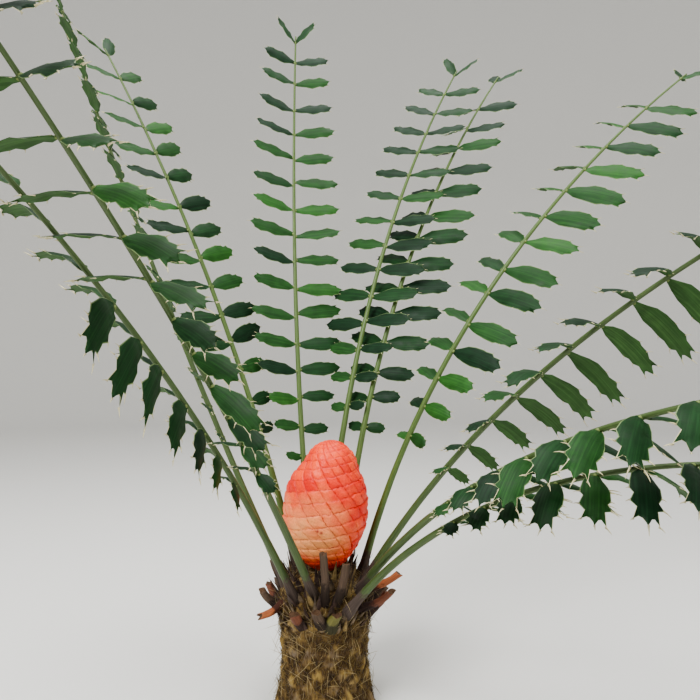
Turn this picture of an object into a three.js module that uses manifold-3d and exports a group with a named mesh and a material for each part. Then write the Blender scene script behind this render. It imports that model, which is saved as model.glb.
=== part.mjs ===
// A cycad: a low trunk armoured with old leaf bases, one large cone standing in the middle of the
// crown, cut leaf stubs round it, and eleven arching fronds with two rows of stiff leaflets.
// Millimetres, +Z up. The origin is the middle of the trunk's flat cut at ground level.
// Azimuths are in degrees: 0 points along +Y, 90 along +X, 180 along -Y.

import * as THREE from 'three';
import { mergeVertices } from 'three/addons/utils/BufferGeometryUtils.js';
import Module from 'manifold-3d';

const wasm = await Module();
wasm.setup();

// Driving dimensions
const CLEARANCE = 0.35; // between the trunk and whatever stands in it
const MERGE_TOLERANCE = 1e-3;
const SIMPLIFY_TOLERANCE = 0.02;
const UP = new THREE.Vector3(0, 0, 1);

const TRUNK = {
  footRadius: 132, // flare at the ground
  waistRadius: 107,
  shoulderRadius: 121,
  heartRadius: 46, // the flat middle of the crown, which carries the cone
  flareHeight: 60,
  waistHeight: 130,
  shoulderHeight: 262,
  height: 330,
  scarsAround: 16,
  scarRows: 13,
  scarRelief: 5,
};

const CONE = {
  radius: 108,
  height: 345,
  foot: 321, // sunk below the heart of the crown, then cut clear of it
  bellyAt: 0.42, // share of the height where the cone is widest
  leanX: 16, // how far the top bends to +X
  leanPower: 3,
  footPower: 1.35, // how full the outline is below the belly
  topPower: 2.15, // and above it
  fullness: 0.54,
  scalesAround: 16,
  scaleRows: 25,
  scaleRelief: 5,
  spiral: 62, // degrees that a row of scales turns from foot to tip
};

const STEM = {
  footRadius: 15,
  petioleRadius: 11,
  ribRadius: 8,
  tipRadius: 2.6,
  flatness: 0.9, // depth over breadth
  footLength: 60,
  sunk: 40, // length of the foot that runs into the trunk before it is cut clear
  sides: 6,
  steps: 12,
};

const LEAFLET = {
  length: 145,
  width: 50,
  thickness: 3,
  pitch: 84, // along the rib, from one pair to the next
  sides: 3,
  footWidth: 0.26,
  widestAt: 0.42, // share of the length where the blade is widest
  closing: 12, // degrees that the spread closes by towards the tip
  firstScale: 0.42, // size of the first pair against a full one
  growth: 2.7, // how fast the pairs grow along the leafy part
  tipLoss: 0.35, // how much smaller the last pair is
  tipPower: 5,
  endAngle: 34, // the last pair, at the tip
  endShare: 0.985, // and where it stands along the frond
  spare: 1.2, // how far a leaflet keeps from another frond
};

// Each frond has a seat on the crown (azimuth, radius and height), the azimuth that it grows
// towards, its rise above the horizontal at the foot and at the tip, its swing in azimuth from foot
// to tip, its length, the bare length of its petiole, and the roll of its plane about the rib at the
// foot and at the tip. Its leaflets have a spread from the rib, a twist about their own length in
// the left and in the right row, a lift above the plane, a sag, and a size against a common one.
const FRONDS = [
  { name: 'frond_front_left_inner', seat: [-166, 98, 296], azimuth: -160, rise: [52, 40], swing: 5,
    length: 1600, bare: 456, roll: [37, -2], spread: 85, twist: [75, 45], lift: -8, sag: 0.2, size: 1 },
  { name: 'frond_front_left_outer', seat: [-139, 108, 284], azimuth: -151, rise: [57, 32], swing: 0,
    length: 1700, bare: 393, roll: [34, 54], spread: 64, twist: [-10, 15], lift: -2, sag: 0.85, size: 1 },
  { name: 'frond_left', seat: [-104, 98, 296], azimuth: -103, rise: [66, 73], swing: 0,
    length: 1700, bare: 420, roll: [0, 0], spread: 82, twist: [22, 22], lift: 6, sag: 0.05, size: 1 },
  { name: 'frond_back_left', seat: [-48, 98, 296], azimuth: -70, rise: [75, 61], swing: -8,
    length: 1600, bare: 405, roll: [24, 20], spread: 83, twist: [25, 5], lift: 1, sag: 0.05, size: 1 },
  { name: 'frond_back', seat: [-22, 98, 296], azimuth: -24, rise: [74, 80], swing: 27,
    length: 1660, bare: 311, roll: [-12, -21], spread: 86, twist: [25, 25], lift: 9, sag: 0, size: 1 },
  { name: 'frond_back_right_inner', seat: [-1, 104, 290], azimuth: 38, rise: [82, 56], swing: 13,
    length: 1660, bare: 459, roll: [5, -24], spread: 86, twist: [20, 15], lift: 3, sag: 0.05, size: 1 },
  { name: 'frond_back_right_outer', seat: [24, 104, 290], azimuth: 48, rise: [82, 52], swing: 8,
    length: 1650, bare: 401, roll: [-29, -8], spread: 81, twist: [22, 5], lift: -10, sag: 0.05, size: 1 },
  { name: 'frond_right', seat: [62, 104, 290], azimuth: 108, rise: [76, 37], swing: -35,
    length: 1660, bare: 405, roll: [-40, -23], spread: 80, twist: [40, 5], lift: -4, sag: 0.25, size: 1.12 },
  { name: 'frond_front_right_upper', seat: [98, 98, 296], azimuth: 112, rise: [60, 15], swing: 38,
    length: 1650, bare: 385, roll: [23, 40], spread: 81, twist: [12, 40], lift: -11, sag: 0.6, size: 1 },
  { name: 'frond_front_right_lower', seat: [150, 122, 262], azimuth: 134, rise: [50, -16], swing: 0,
    length: 1500, bare: 420, roll: [0, 0], spread: 70, twist: [32, 32], lift: -4, sag: 0.5, size: 1 },
  { name: 'frond_front_right_inner', seat: [127, 104, 294], azimuth: 148, rise: [46, 0], swing: 0,
    length: 1580, bare: 460, roll: [0, 0], spread: 66, twist: [32, 32], lift: -6, sag: 0.6, size: 1 },
];

// Cut petioles at the open front of the crown: azimuth, seat height, lean from the horizontal,
// length past the bark and radius
const FRONT_STUBS = [
  { azimuth: 179, seat: 292, lean: 74, length: 132, radius: 11 },
  { azimuth: 161, seat: 290, lean: 66, length: 116, radius: 12 },
  { azimuth: 112, seat: 298, lean: 28, length: 104, radius: 13 },
  { azimuth: 128, seat: 262, lean: 34, length: 108, radius: 13 },
  { azimuth: -118, seat: 262, lean: -16, length: 62, radius: 12 },
  { azimuth: 168, seat: 236, lean: 50, length: 46, radius: 16 },
  { azimuth: -176, seat: 242, lean: 48, length: 52, radius: 15 },
  { azimuth: -154, seat: 236, lean: 40, length: 58, radius: 15 },
];
const RING_STUBS = [
  { count: 11, from: -92, to: 100, seat: 240, lean: 46, length: 60, radius: 15 },
  { count: 5, from: -74, to: 94, seat: 288, lean: 66, length: 70, radius: 14 },
];
const STUB = {
  sides: 6,
  steps: 1,
  sunk: 60, // length of the foot that runs into the trunk before it is cut clear
  taper: 0.86,
  flatness: 0.8, // depth over breadth
  cutSlope: 0.45,
  spare: 0.5, // how far a stub keeps from its neighbours
};

const COLOURS = {
  bark: '#7a6038',
  cone: '#f0503c',
  frond: '#2f5f36',
  stub: '#5f4630',
};

// Solids from three.js geometries, and back

function toSolid(geometry) {
  const bare = geometry.clone();
  bare.deleteAttribute('normal');
  bare.deleteAttribute('uv');
  const merged = mergeVertices(bare, MERGE_TOLERANCE);
  const index = merged.index.array;
  const kept = [];
  for (let i = 0; i < index.length; i += 3) {
    const [a, b, c] = [index[i], index[i + 1], index[i + 2]];
    if (a !== b && b !== c && c !== a) kept.push(a, b, c);
  }
  return new wasm.Manifold(new wasm.Mesh({
    numProp: 3,
    vertProperties: Float32Array.from(merged.attributes.position.array),
    triVerts: Uint32Array.from(kept),
  }));
}

function toGeometry(solid) {
  const mesh = solid.getMesh();
  const geometry = new THREE.BufferGeometry();
  geometry.setAttribute('position', new THREE.BufferAttribute(mesh.vertProperties, 3));
  geometry.setIndex(new THREE.BufferAttribute(mesh.triVerts, 1));
  geometry.computeVertexNormals();
  return geometry;
}

// A direction from an azimuth and a rise above the horizontal, both in degrees
function direction(azimuth, rise) {
  const a = THREE.MathUtils.degToRad(azimuth);
  const e = THREE.MathUtils.degToRad(rise);
  return new THREE.Vector3(Math.sin(a) * Math.cos(e), Math.cos(a) * Math.cos(e), Math.sin(e));
}

// A cylinder whose rings are carried along a route: place(t, u, v) gives the point for the share t
// of the length and the unit vector (u, v) round the ring
function carried(sides, steps, place) {
  const geometry = new THREE.CylinderGeometry(1, 1, 1, sides, steps);
  const position = geometry.attributes.position;
  for (let i = 0; i < position.count; i++) {
    const ring = Math.hypot(position.getX(i), position.getZ(i));
    const u = ring > 0 ? position.getX(i) : 0;
    const v = ring > 0 ? position.getZ(i) : 0;
    const point = place(position.getY(i) + 0.5, u, v);
    position.setXYZ(i, point.x, point.y, point.z);
  }
  return geometry;
}

// A lathe about +Z whose points are pushed out and turned: relief(i, j) gives the push for the
// column i and the row j, and twist the turn in degrees from the first row to the last
function studdedLathe(profile, columns, relief, twist) {
  const geometry = new THREE.LatheGeometry(profile, columns);
  const position = geometry.attributes.position;
  const rows = profile.length;
  for (let i = 0; i < position.count; i++) {
    const row = i % rows;
    const column = Math.floor(i / rows) % columns;
    const { x: radius, y: height } = profile[row];
    const angle = (2 * Math.PI * column) / columns + THREE.MathUtils.degToRad((twist * row) / rows);
    const reach = radius > 0 ? radius + relief(column, row) : 0;
    position.setXYZ(i, reach * Math.cos(angle), reach * Math.sin(angle), height);
  }
  return geometry;
}

// The trunk's outline from the ground to the heart of the crown
function trunkRadius(height) {
  const { footRadius, waistRadius, shoulderRadius, heartRadius } = TRUNK;
  const { flareHeight, waistHeight, shoulderHeight } = TRUNK;
  if (height < waistHeight) {
    const flare = Math.exp(-height / flareHeight) - Math.exp(-waistHeight / flareHeight);
    return waistRadius + (footRadius - waistRadius) * flare;
  }
  if (height < shoulderHeight) {
    const rise = THREE.MathUtils.smoothstep(height, waistHeight, shoulderHeight);
    return THREE.MathUtils.lerp(waistRadius, shoulderRadius, rise);
  }
  const dome = (height - shoulderHeight) / (TRUNK.height - shoulderHeight);
  return heartRadius + (shoulderRadius - heartRadius) * Math.sqrt(Math.max(0, 1 - dome * dome));
}

function trunkSolid(grow) {
  const rows = TRUNK.scarRows;
  const profile = [new THREE.Vector2(0, 0)];
  for (let j = 0; j <= rows; j++) {
    const height = (TRUNK.height * j) / rows;
    const raised = height > TRUNK.shoulderHeight ? height + grow : height;
    profile.push(new THREE.Vector2(trunkRadius(height) + grow, raised));
  }
  profile.push(new THREE.Vector2(0, TRUNK.height + grow));
  const columns = 2 * TRUNK.scarsAround;
  const relief = (column, row) => {
    const inner = row > 1 && row < rows;
    return inner && (column + row) % 2 === 0 ? TRUNK.scarRelief : 0;
  };
  return toSolid(studdedLathe(profile, columns, relief, 0));
}

// The cone's outline: a full belly, a blunt top and a narrow foot
function coneRadius(share) {
  const { radius, bellyAt } = CONE;
  const across = share < bellyAt ? (bellyAt - share) / bellyAt : (share - bellyAt) / (1 - bellyAt);
  const power = share < bellyAt ? CONE.footPower : CONE.topPower;
  return radius * Math.pow(Math.max(0, 1 - Math.pow(across, power)), CONE.fullness);
}

function coneSolid(grow) {
  const rows = CONE.scaleRows;
  const profile = [];
  for (let j = 0; j <= rows; j++) {
    const share = j / rows;
    const radius = j === 0 || j === rows ? 0 : coneRadius(share) + grow;
    profile.push(new THREE.Vector2(radius, CONE.foot + CONE.height * share));
  }
  const relief = (column, row) => {
    const fade = Math.min(1, coneRadius(row / rows) / CONE.radius);
    return (column + row) % 2 === 0 ? CONE.scaleRelief * fade : 0;
  };
  const geometry = studdedLathe(profile, 2 * CONE.scalesAround, relief, CONE.spiral);
  const position = geometry.attributes.position;
  for (let i = 0; i < position.count; i++) {
    const share = (position.getZ(i) - CONE.foot) / CONE.height;
    position.setX(i, position.getX(i) + CONE.leanX * share ** CONE.leanPower);
  }
  return toSolid(geometry);
}

// A frond's centre line: its rise and its azimuth change evenly along its length
function frondPath(frond) {
  const points = [];
  const [turn, radius, height] = frond.seat;
  const point = direction(turn, 0).multiplyScalar(radius).add(new THREE.Vector3(0, 0, height));
  const count = 2 * STEM.steps;
  const step = frond.length / count;
  for (let k = 0; k <= count; k++) {
    points.push(point.clone());
    const share = (k + 0.5) / count;
    const rise = THREE.MathUtils.lerp(frond.rise[0], frond.rise[1], share);
    point.addScaledVector(direction(frond.azimuth + frond.swing * share, rise), step);
  }
  return new THREE.CatmullRomCurve3(points);
}

// The three directions at a share of the frond: along the rib, to its right side seen from the
// foot, and out of its upper face
function frondFrame(path, frond, share) {
  const along = path.getTangentAt(share);
  const level = direction(frond.azimuth + frond.swing * share + 90, 0);
  const upper = new THREE.Vector3().crossVectors(level, along).normalize();
  const roll = THREE.MathUtils.lerp(frond.roll[0], frond.roll[1], share);
  upper.applyAxisAngle(along, -THREE.MathUtils.degToRad(roll));
  const side = new THREE.Vector3().crossVectors(along, upper);
  return { centre: path.getPointAt(share), along, side, upper };
}

function stemRadius(distance, frond) {
  const foot = STEM.petioleRadius + (STEM.footRadius - STEM.petioleRadius)
    * Math.exp(-distance / STEM.footLength);
  if (distance < frond.bare) {
    return THREE.MathUtils.lerp(foot, STEM.ribRadius, distance / frond.bare);
  }
  const share = (distance - frond.bare) / (frond.length - frond.bare);
  return THREE.MathUtils.lerp(STEM.ribRadius, STEM.tipRadius, share);
}

// The petiole and the rib in one tapering stem, with its foot carried back into the trunk
function stemSolid(frond, path) {
  const start = -STEM.sunk / frond.length;
  const place = (t, u, v) => {
    const share = THREE.MathUtils.lerp(start, 1, t);
    const { centre, along, side, upper } = frondFrame(path, frond, Math.max(0, share));
    const radius = stemRadius(Math.max(0, share) * frond.length, frond);
    return centre
      .addScaledVector(along, Math.min(0, share) * frond.length)
      .addScaledVector(side, u * radius)
      .addScaledVector(upper, v * radius * STEM.flatness);
  };
  return toSolid(carried(STEM.sides, STEM.steps, place));
}

// How long the leaflets are along the leafy part: short at its start, full from a fifth of it,
// and shorter towards the tip
function leafletScale(share) {
  const growing = Math.min(1, LEAFLET.firstScale + LEAFLET.growth * share);
  return growing * (1 - LEAFLET.tipLoss * share ** LEAFLET.tipPower);
}

// One leaflet: a keeled blade from the rib to a sharp tip
function leafletSolid(frond, path, distance, hand, angle, grow) {
  const share = distance / frond.length;
  const { centre, along, side, upper } = frondFrame(path, frond, share);
  const leafy = (distance - frond.bare) / (frond.length - frond.bare);
  const scale = leafletScale(leafy) * frond.size;
  const length = LEAFLET.length * scale + grow;
  const halfWidth = 0.5 * LEAFLET.width * Math.sqrt(scale) + grow;
  const depth = LEAFLET.thickness + grow;
  const spread = THREE.MathUtils.degToRad(angle);
  const lift = THREE.MathUtils.degToRad(frond.lift);
  const twist = THREE.MathUtils.degToRad(hand < 0 ? frond.twist[0] : frond.twist[1]);
  const out = new THREE.Vector3()
    .addScaledVector(side, hand * Math.sin(spread))
    .addScaledVector(along, Math.cos(spread))
    .multiplyScalar(Math.cos(lift))
    .addScaledVector(upper, Math.sin(lift));
  const across = new THREE.Vector3()
    .addScaledVector(along, Math.cos(twist))
    .addScaledVector(upper, -Math.sin(twist));
  across.addScaledVector(out, -across.dot(out)).normalize().multiplyScalar(hand);
  const under = new THREE.Vector3().crossVectors(across, out);
  const rings = [
    { run: 0, width: halfWidth * LEAFLET.footWidth, thick: depth },
    { run: LEAFLET.widestAt, width: halfWidth, thick: depth },
    { run: 1, width: 0, thick: 0 },
  ];
  const place = (t, u, v) => {
    const { run, width, thick } = rings[Math.round(t * (rings.length - 1))];
    return centre.clone()
      .addScaledVector(out, length * run)
      .addScaledVector(UP, -frond.sag * length * run * run * 0.5)
      .addScaledVector(across, u * width)
      .addScaledVector(under, v * thick * 0.5);
  };
  return toSolid(carried(LEAFLET.sides, rings.length - 1, place));
}

// Where the pairs of leaflets stand on a frond, with their angle to the rib
function leafletSeats(frond) {
  const seats = [];
  const pairs = Math.floor((frond.length - frond.bare) / LEAFLET.pitch);
  for (let k = 0; k < pairs; k++) {
    const distance = frond.bare + k * LEAFLET.pitch;
    const angle = frond.spread - (LEAFLET.closing * k) / pairs;
    seats.push({ distance, angle });
  }
  seats.push({ distance: frond.length * LEAFLET.endShare, angle: LEAFLET.endAngle });
  return seats;
}

function touches(solid, blockers) {
  return blockers.some((blocker) => !solid.intersect(blocker).isEmpty());
}

// A cut petiole: a short flattened peg, its foot sunk into the trunk, its end cut aslant
function stubSolid(stub) {
  const out = direction(stub.azimuth, stub.lean);
  const side = direction(stub.azimuth + 90, 0);
  const upper = new THREE.Vector3().crossVectors(side, out);
  const radius = trunkRadius(stub.seat);
  const foot = direction(stub.azimuth, 0).multiplyScalar(radius)
    .add(new THREE.Vector3(0, 0, stub.seat));
  const place = (t, u, v) => {
    const run = THREE.MathUtils.lerp(-STUB.sunk, stub.length, t);
    const girth = stub.radius * THREE.MathUtils.lerp(1, STUB.taper, t);
    const cut = t === 1 ? STUB.cutSlope * v * girth : 0;
    return foot.clone()
      .addScaledVector(out, run - cut)
      .addScaledVector(side, u * girth)
      .addScaledVector(upper, v * girth * STUB.flatness);
  };
  return toSolid(carried(STUB.sides, STUB.steps, place));
}

function allStubs() {
  const stubs = [...FRONT_STUBS];
  for (const ring of RING_STUBS) {
    for (let k = 0; k < ring.count; k++) {
      const azimuth = THREE.MathUtils.lerp(ring.from, ring.to, k / (ring.count - 1));
      stubs.push({ ...ring, azimuth });
    }
  }
  return stubs;
}

// The assembly

const plant = new THREE.Group();

function addNode(name, solid, colour, roughness) {
  const material = new THREE.MeshStandardMaterial({ color: colour, roughness, metalness: 0 });
  const mesh = new THREE.Mesh(toGeometry(solid), material);
  mesh.name = name;
  plant.add(mesh);
}

const trunkCutter = trunkSolid(CLEARANCE);
const coneCutter = coneSolid(LEAFLET.spare);
addNode('trunk', trunkSolid(0), COLOURS.bark, 0.95);
addNode('cone', coneSolid(0).subtract(trunkCutter), COLOURS.cone, 0.6);

const paths = FRONDS.map(frondPath);
const stems = FRONDS.map((frond, k) => stemSolid(frond, paths[k]).subtract(trunkCutter));
const finished = [];

FRONDS.forEach((frond, k) => {
  const blockers = [trunkCutter, coneCutter, ...stems.filter((_, j) => j !== k), ...finished];
  const parts = [stems[k]];
  for (const { distance, angle } of leafletSeats(frond)) {
    for (const hand of [-1, 1]) {
      const wide = leafletSolid(frond, paths[k], distance, hand, angle, LEAFLET.spare);
      if (touches(wide, blockers)) continue;
      parts.push(leafletSolid(frond, paths[k], distance, hand, angle, 0));
    }
  }
  const solid = wasm.Manifold.union(parts).simplify(SIMPLIFY_TOLERANCE);
  finished.push(solid);
  addNode(frond.name, solid, COLOURS.frond, 0.5);
});

const placedStubs = [];
for (const stub of allStubs()) {
  const solid = stubSolid(stub).subtract(trunkCutter);
  const wide = stubSolid({ ...stub, radius: stub.radius + STUB.spare }).subtract(trunkCutter);
  if (touches(wide, [...stems, ...placedStubs, coneCutter])) continue;
  placedStubs.push(wide);
  addNode(`stub_${String(placedStubs.length).padStart(2, '0')}`, solid, COLOURS.stub, 0.9);
}

export default plant;
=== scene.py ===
"""A cycad: a low fibrous trunk, one coral seed cone, cut petioles and eleven arching spiny fronds.

Metres, +Z up, the middle of the trunk's flat cut at the origin. Azimuths are in degrees: 0 points
along +Y, away from the camera, 90 along +X and 180 towards the camera.
"""
import logging
import math
from dataclasses import dataclass, field
from enum import Enum
from typing import NamedTuple

import bpy
import numpy as np
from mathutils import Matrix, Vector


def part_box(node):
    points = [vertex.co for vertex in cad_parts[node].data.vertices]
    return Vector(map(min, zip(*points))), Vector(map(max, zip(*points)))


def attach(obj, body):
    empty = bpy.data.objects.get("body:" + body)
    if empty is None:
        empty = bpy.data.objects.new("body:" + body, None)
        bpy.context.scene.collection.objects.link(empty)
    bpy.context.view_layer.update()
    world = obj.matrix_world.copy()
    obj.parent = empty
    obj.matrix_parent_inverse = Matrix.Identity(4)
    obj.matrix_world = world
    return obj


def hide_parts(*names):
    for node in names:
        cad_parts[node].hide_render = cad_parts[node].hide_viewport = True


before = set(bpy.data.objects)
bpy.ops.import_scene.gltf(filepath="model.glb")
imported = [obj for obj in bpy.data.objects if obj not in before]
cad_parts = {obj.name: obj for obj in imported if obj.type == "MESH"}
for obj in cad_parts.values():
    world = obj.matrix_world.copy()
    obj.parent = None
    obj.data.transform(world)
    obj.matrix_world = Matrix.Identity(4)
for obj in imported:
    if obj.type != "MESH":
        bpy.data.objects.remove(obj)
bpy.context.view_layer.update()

log = logging.getLogger("cycad")

MM = 0.001
BODY = "root"
SEED = 7
UP = np.array([0.0, 0.0, 1.0])
IOR = 1.45  # of plant wax, cork and dry fibre


class Slot(Enum):
    """Names of four material slots."""

    BARK = "bark"
    CONE = "cone"
    FROND = "frond"
    STUB = "stub"


# Small mathematics on whole arrays


def unit(vectors: np.ndarray) -> np.ndarray:
    """Vectors of length one, along the last axis."""
    return vectors / np.maximum(np.linalg.norm(vectors, axis=-1, keepdims=True), 1e-12)


def stacked(*parts: np.ndarray) -> np.ndarray:
    """Arrays of matching shapes as the components along one last axis."""
    return np.stack(np.broadcast_arrays(*parts), axis=-1)


def direction(azimuth: np.ndarray | float, rise: np.ndarray | float = 0.0) -> np.ndarray:
    """Unit vectors from azimuths and rises above the horizontal, both in degrees."""
    a, e = np.radians(azimuth), np.radians(rise)
    return stacked(np.sin(a) * np.cos(e), np.cos(a) * np.cos(e), np.sin(e))


def between(ends: tuple[float, float], share: np.ndarray | float) -> np.ndarray | float:
    """The value at a share of the way from the first end to the second."""
    return ends[0] + (ends[1] - ends[0]) * share


def smooth_step(value: np.ndarray, low: float, high: float) -> np.ndarray:
    """0 below low, 1 above high, and the cubic 3t^2 - 2t^3 between them."""
    t = np.clip((value - low) / (high - low), 0, 1)
    return t * t * (3 - 2 * t)


def soft_noise(rows: int, columns: int, cells: tuple[int, int], rng: np.random.Generator) -> np.ndarray:
    """Soft random relief from -1 to 1 that closes on itself round the columns.

    Random values on a coarse lattice are blended by the cubic step between their neighbours.

    Args:
        rows: Rows of the result.
        columns: Columns of the result.
        cells: How many lattice cells there are along the rows and round the columns.
        rng: The source of the random values.

    Returns:
        An array of rows by columns.
    """
    lattice = rng.uniform(-1, 1, (cells[0] + 2, cells[1]))
    r = np.linspace(0, cells[0], rows)
    c = np.arange(columns) * cells[1] / columns
    r0, c0 = np.floor(r).astype(int), np.floor(c).astype(int)
    fr, fc = smooth_step(r - r0, 0, 1)[:, None], smooth_step(c - c0, 0, 1)[None, :]
    c1 = (c0 + 1) % cells[1]
    near, far = (lattice[row][:, c0] * (1 - fc) + lattice[row][:, c1] * fc for row in (r0, r0 + 1))
    return near * (1 - fr) + far * fr


def cell_value(first: np.ndarray, second: np.ndarray, salt: float) -> np.ndarray:
    """A fixed random value from 0 to 1 for each pair of whole cell numbers.

    The fraction of a large sine of the two numbers, which looks random and is the same each run.
    """
    return np.modf(np.abs(np.sin(first * 12.9898 + second * 78.233 + salt) * 43758.5453))[0]


def arc_length(radius: np.ndarray, height: np.ndarray) -> np.ndarray:
    """Length along an outline from its first point to each of its points."""
    return np.concatenate([[0], np.cumsum(np.hypot(np.diff(radius), np.diff(height)))])


def pushed(radius: np.ndarray, height: np.ndarray, arc: np.ndarray,
           push: np.ndarray) -> tuple[np.ndarray, np.ndarray]:
    """The points of a turned surface, moved out along its outline's normals.

    Args:
        radius: Radius of each row.
        height: Height of each row.
        arc: Length along the outline up to each row.
        push: How far each point moves, rows by columns.

    Returns:
        Radius and height of each point, rows by columns.
    """
    normal_r, normal_z = np.gradient(height, arc)[:, None], -np.gradient(radius, arc)[:, None]
    size = np.maximum(np.hypot(normal_r, normal_z), 1e-6)
    return radius[:, None] + push * normal_r / size, height[:, None] + push * normal_z / size


# Surfaces


@dataclass
class Skin:
    """A mesh as arrays: points, its faces of four and of three corners, and what each one carries.

    Attributes:
        points: Corner places, n by 3.
        quads: Corner numbers of the faces of four corners.
        triangles: Corner numbers of the faces of three corners.
        finish: The finish number of each face, first of the quads and then of the triangles.
        sharp: Whether each face is shaded flat, in the same order.
        uv: Place along and across the surface in metres at each point, n by 2.
        marks: Named values at each point, which the materials read as attributes.
    """

    points: np.ndarray
    quads: np.ndarray
    triangles: np.ndarray
    finish: np.ndarray
    sharp: np.ndarray
    uv: np.ndarray
    marks: dict[str, np.ndarray] = field(default_factory=dict)


def ring_faces(rings: int, corners: int) -> np.ndarray:
    """The faces between rings of points, which are numbered ring by ring.

    Args:
        rings: How many rings there are.
        corners: How many points each has.

    Returns:
        The corner numbers of the faces, n by 4.
    """
    i, j = np.arange(rings - 1)[:, None] * corners, np.arange(corners)
    k = (j + 1) % corners
    return stacked(i + j, i + k, i + corners + k, i + corners + j).reshape(-1, 4)


def loft(rings: np.ndarray, start: np.ndarray, end: np.ndarray) -> Skin:
    """Closed skins over rings of points, many alike at once.

    Each ring is joined to the next by faces of four corners, and the first and the last ring are
    closed by fans to one point each. Rings that turn counter-clockwise as seen from ahead face out.

    Args:
        rings: Items by rings by corners by 3.
        start: The point that closes each item's first ring, items by 3.
        end: The point that closes its last ring, items by 3.

    Returns:
        One skin of all the items, with UV 0 and finish 0.
    """
    items, r, c, _ = rings.shape
    points = np.concatenate([rings.reshape(items, r * c, 3), start[:, None], end[:, None]], axis=1)
    j = np.arange(c)
    k, last = (j + 1) % c, (r - 1) * c
    fans = np.concatenate([stacked(r * c, k, j), stacked(r * c + 1, last + j, last + k)])
    step = np.arange(items)[:, None, None] * (r * c + 2)
    quads = (ring_faces(r, c) + step).reshape(-1, 4)
    triangles = (fans + step).reshape(-1, 3)
    faces = len(quads) + len(triangles)
    points = points.reshape(-1, 3)
    return Skin(points, quads, triangles, np.zeros(faces, int), np.zeros(faces, bool),
                np.zeros((len(points), 2)))


def loft_values(values: np.ndarray, corner: int = 0) -> np.ndarray:
    """Values on the rings of a loft, in the order of its points.

    Args:
        values: Items by rings by corners, and any further axis.
        corner: The corner of the first and the last ring whose values the closing points take.

    Returns:
        The values of all points, with the further axis kept.
    """
    items, rest = len(values), values.shape[3:]
    joined = np.concatenate([values.reshape(items, -1, *rest), values[:, [0, -1], corner]], axis=1)
    return joined.reshape(-1, *rest)


def spikes(foot: np.ndarray, way: np.ndarray, bend: np.ndarray, long: np.ndarray, thick: np.ndarray,
           beside: np.ndarray, stations: tuple[tuple[float, float], ...]) -> tuple[np.ndarray, np.ndarray]:
    """Three-sided spikes that bend: the point at a share t is foot + long (way t + bend t |t|).

    Args:
        foot: Where each spike starts; the last axis of this and the next two is x, y and z.
        way: Its direction at the foot.
        bend: How much it turns from that on its way.
        long: Its length, with a last axis of 1.
        thick: Its thickness, with a last axis of 1.
        beside: A direction across it, which one side faces.
        stations: The share and the thickness against the full one of each ring.

    Returns:
        The rings, with axes for the stations, the corners and the place last, and the tips.
    """
    angle = np.array([0, 2, 4]) * np.pi / 3
    flat = unit(np.cross(way, beside))
    deep = np.cross(way, flat)
    section = flat[..., None, :] * np.cos(angle)[:, None] + deep[..., None, :] * np.sin(angle)[:, None]
    rings = []
    for share, wide in stations:
        middle = foot + long * (way * share + bend * share * abs(share))
        rings.append(middle[..., None, :] + section * (thick * wide)[..., None])
    return np.stack(rings, axis=-3), foot + long * (way + bend)


def outward(skin: Skin) -> Skin:
    """Turns every face round where the skin holds a negative volume, so that faces point out.

    Args:
        skin: A closed skin, which is changed in place.

    Returns:
        The same skin.
    """
    corners = np.concatenate([skin.quads[:, [0, 1, 2]], skin.quads[:, [0, 2, 3]], skin.triangles])
    a, b, c = (skin.points[corners[:, k]] for k in range(3))
    if np.einsum("ij,ij->", a, np.cross(b, c)) < 0:
        skin.quads = skin.quads[:, ::-1]
        skin.triangles = skin.triangles[:, ::-1]
    return skin


# Finishes


def linear(hex_colour: str) -> tuple[float, float, float, float]:
    """Turns an sRGB colour to linear light.

    Args:
        hex_colour: A hash sign and six hex digits.

    Returns:
        Red, green, blue and alpha.
    """
    values = [int(hex_colour[i:i + 2], 16) / 255 for i in (1, 3, 5)]
    red, green, blue = [v / 12.92 if v <= 0.04045 else ((v + 0.055) / 1.055) ** 2.4 for v in values]
    return red, green, blue, 1.0


def add_node(tree: bpy.types.NodeTree, kind: str, inputs: dict, out: int | str = 0,
             **settings) -> bpy.types.NodeSocket | None:
    """Adds a shader node with its settings and links.

    Args:
        tree: The material's node tree.
        kind: The node's type name, without the ShaderNode that it starts with.
        inputs: For each input, by name or number, a value or the output socket to link to it.
        out: The output that is wanted, by name or number.
        **settings: The node's own properties.

    Returns:
        That output socket, or None where the node has no output.
    """
    node = tree.nodes.new("ShaderNode" + kind)
    for key, value in settings.items():
        setattr(node, key, value)
    for key, value in inputs.items():
        if isinstance(value, bpy.types.NodeSocket):
            tree.links.new(value, node.inputs[key])
        else:
            node.inputs[key].default_value = value
    return node.outputs[out] if len(node.outputs) else None


def drawn_out(tree: bpy.types.NodeTree, length: float, width: float) -> bpy.types.NodeSocket:
    """Coordinates along and across the surface, for a pattern of a real length and width.

    Args:
        tree: The material's node tree.
        length: Length of the pattern's cells along the surface.
        width: Their width.

    Returns:
        The coordinates, in which a cell is 1 long and 1 wide.
    """
    uv = add_node(tree, "UVMap", {}, uv_map="surface")
    return add_node(tree, "Mapping", {"Vector": uv, "Scale": (1 / length, 1 / width, 1)})


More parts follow.
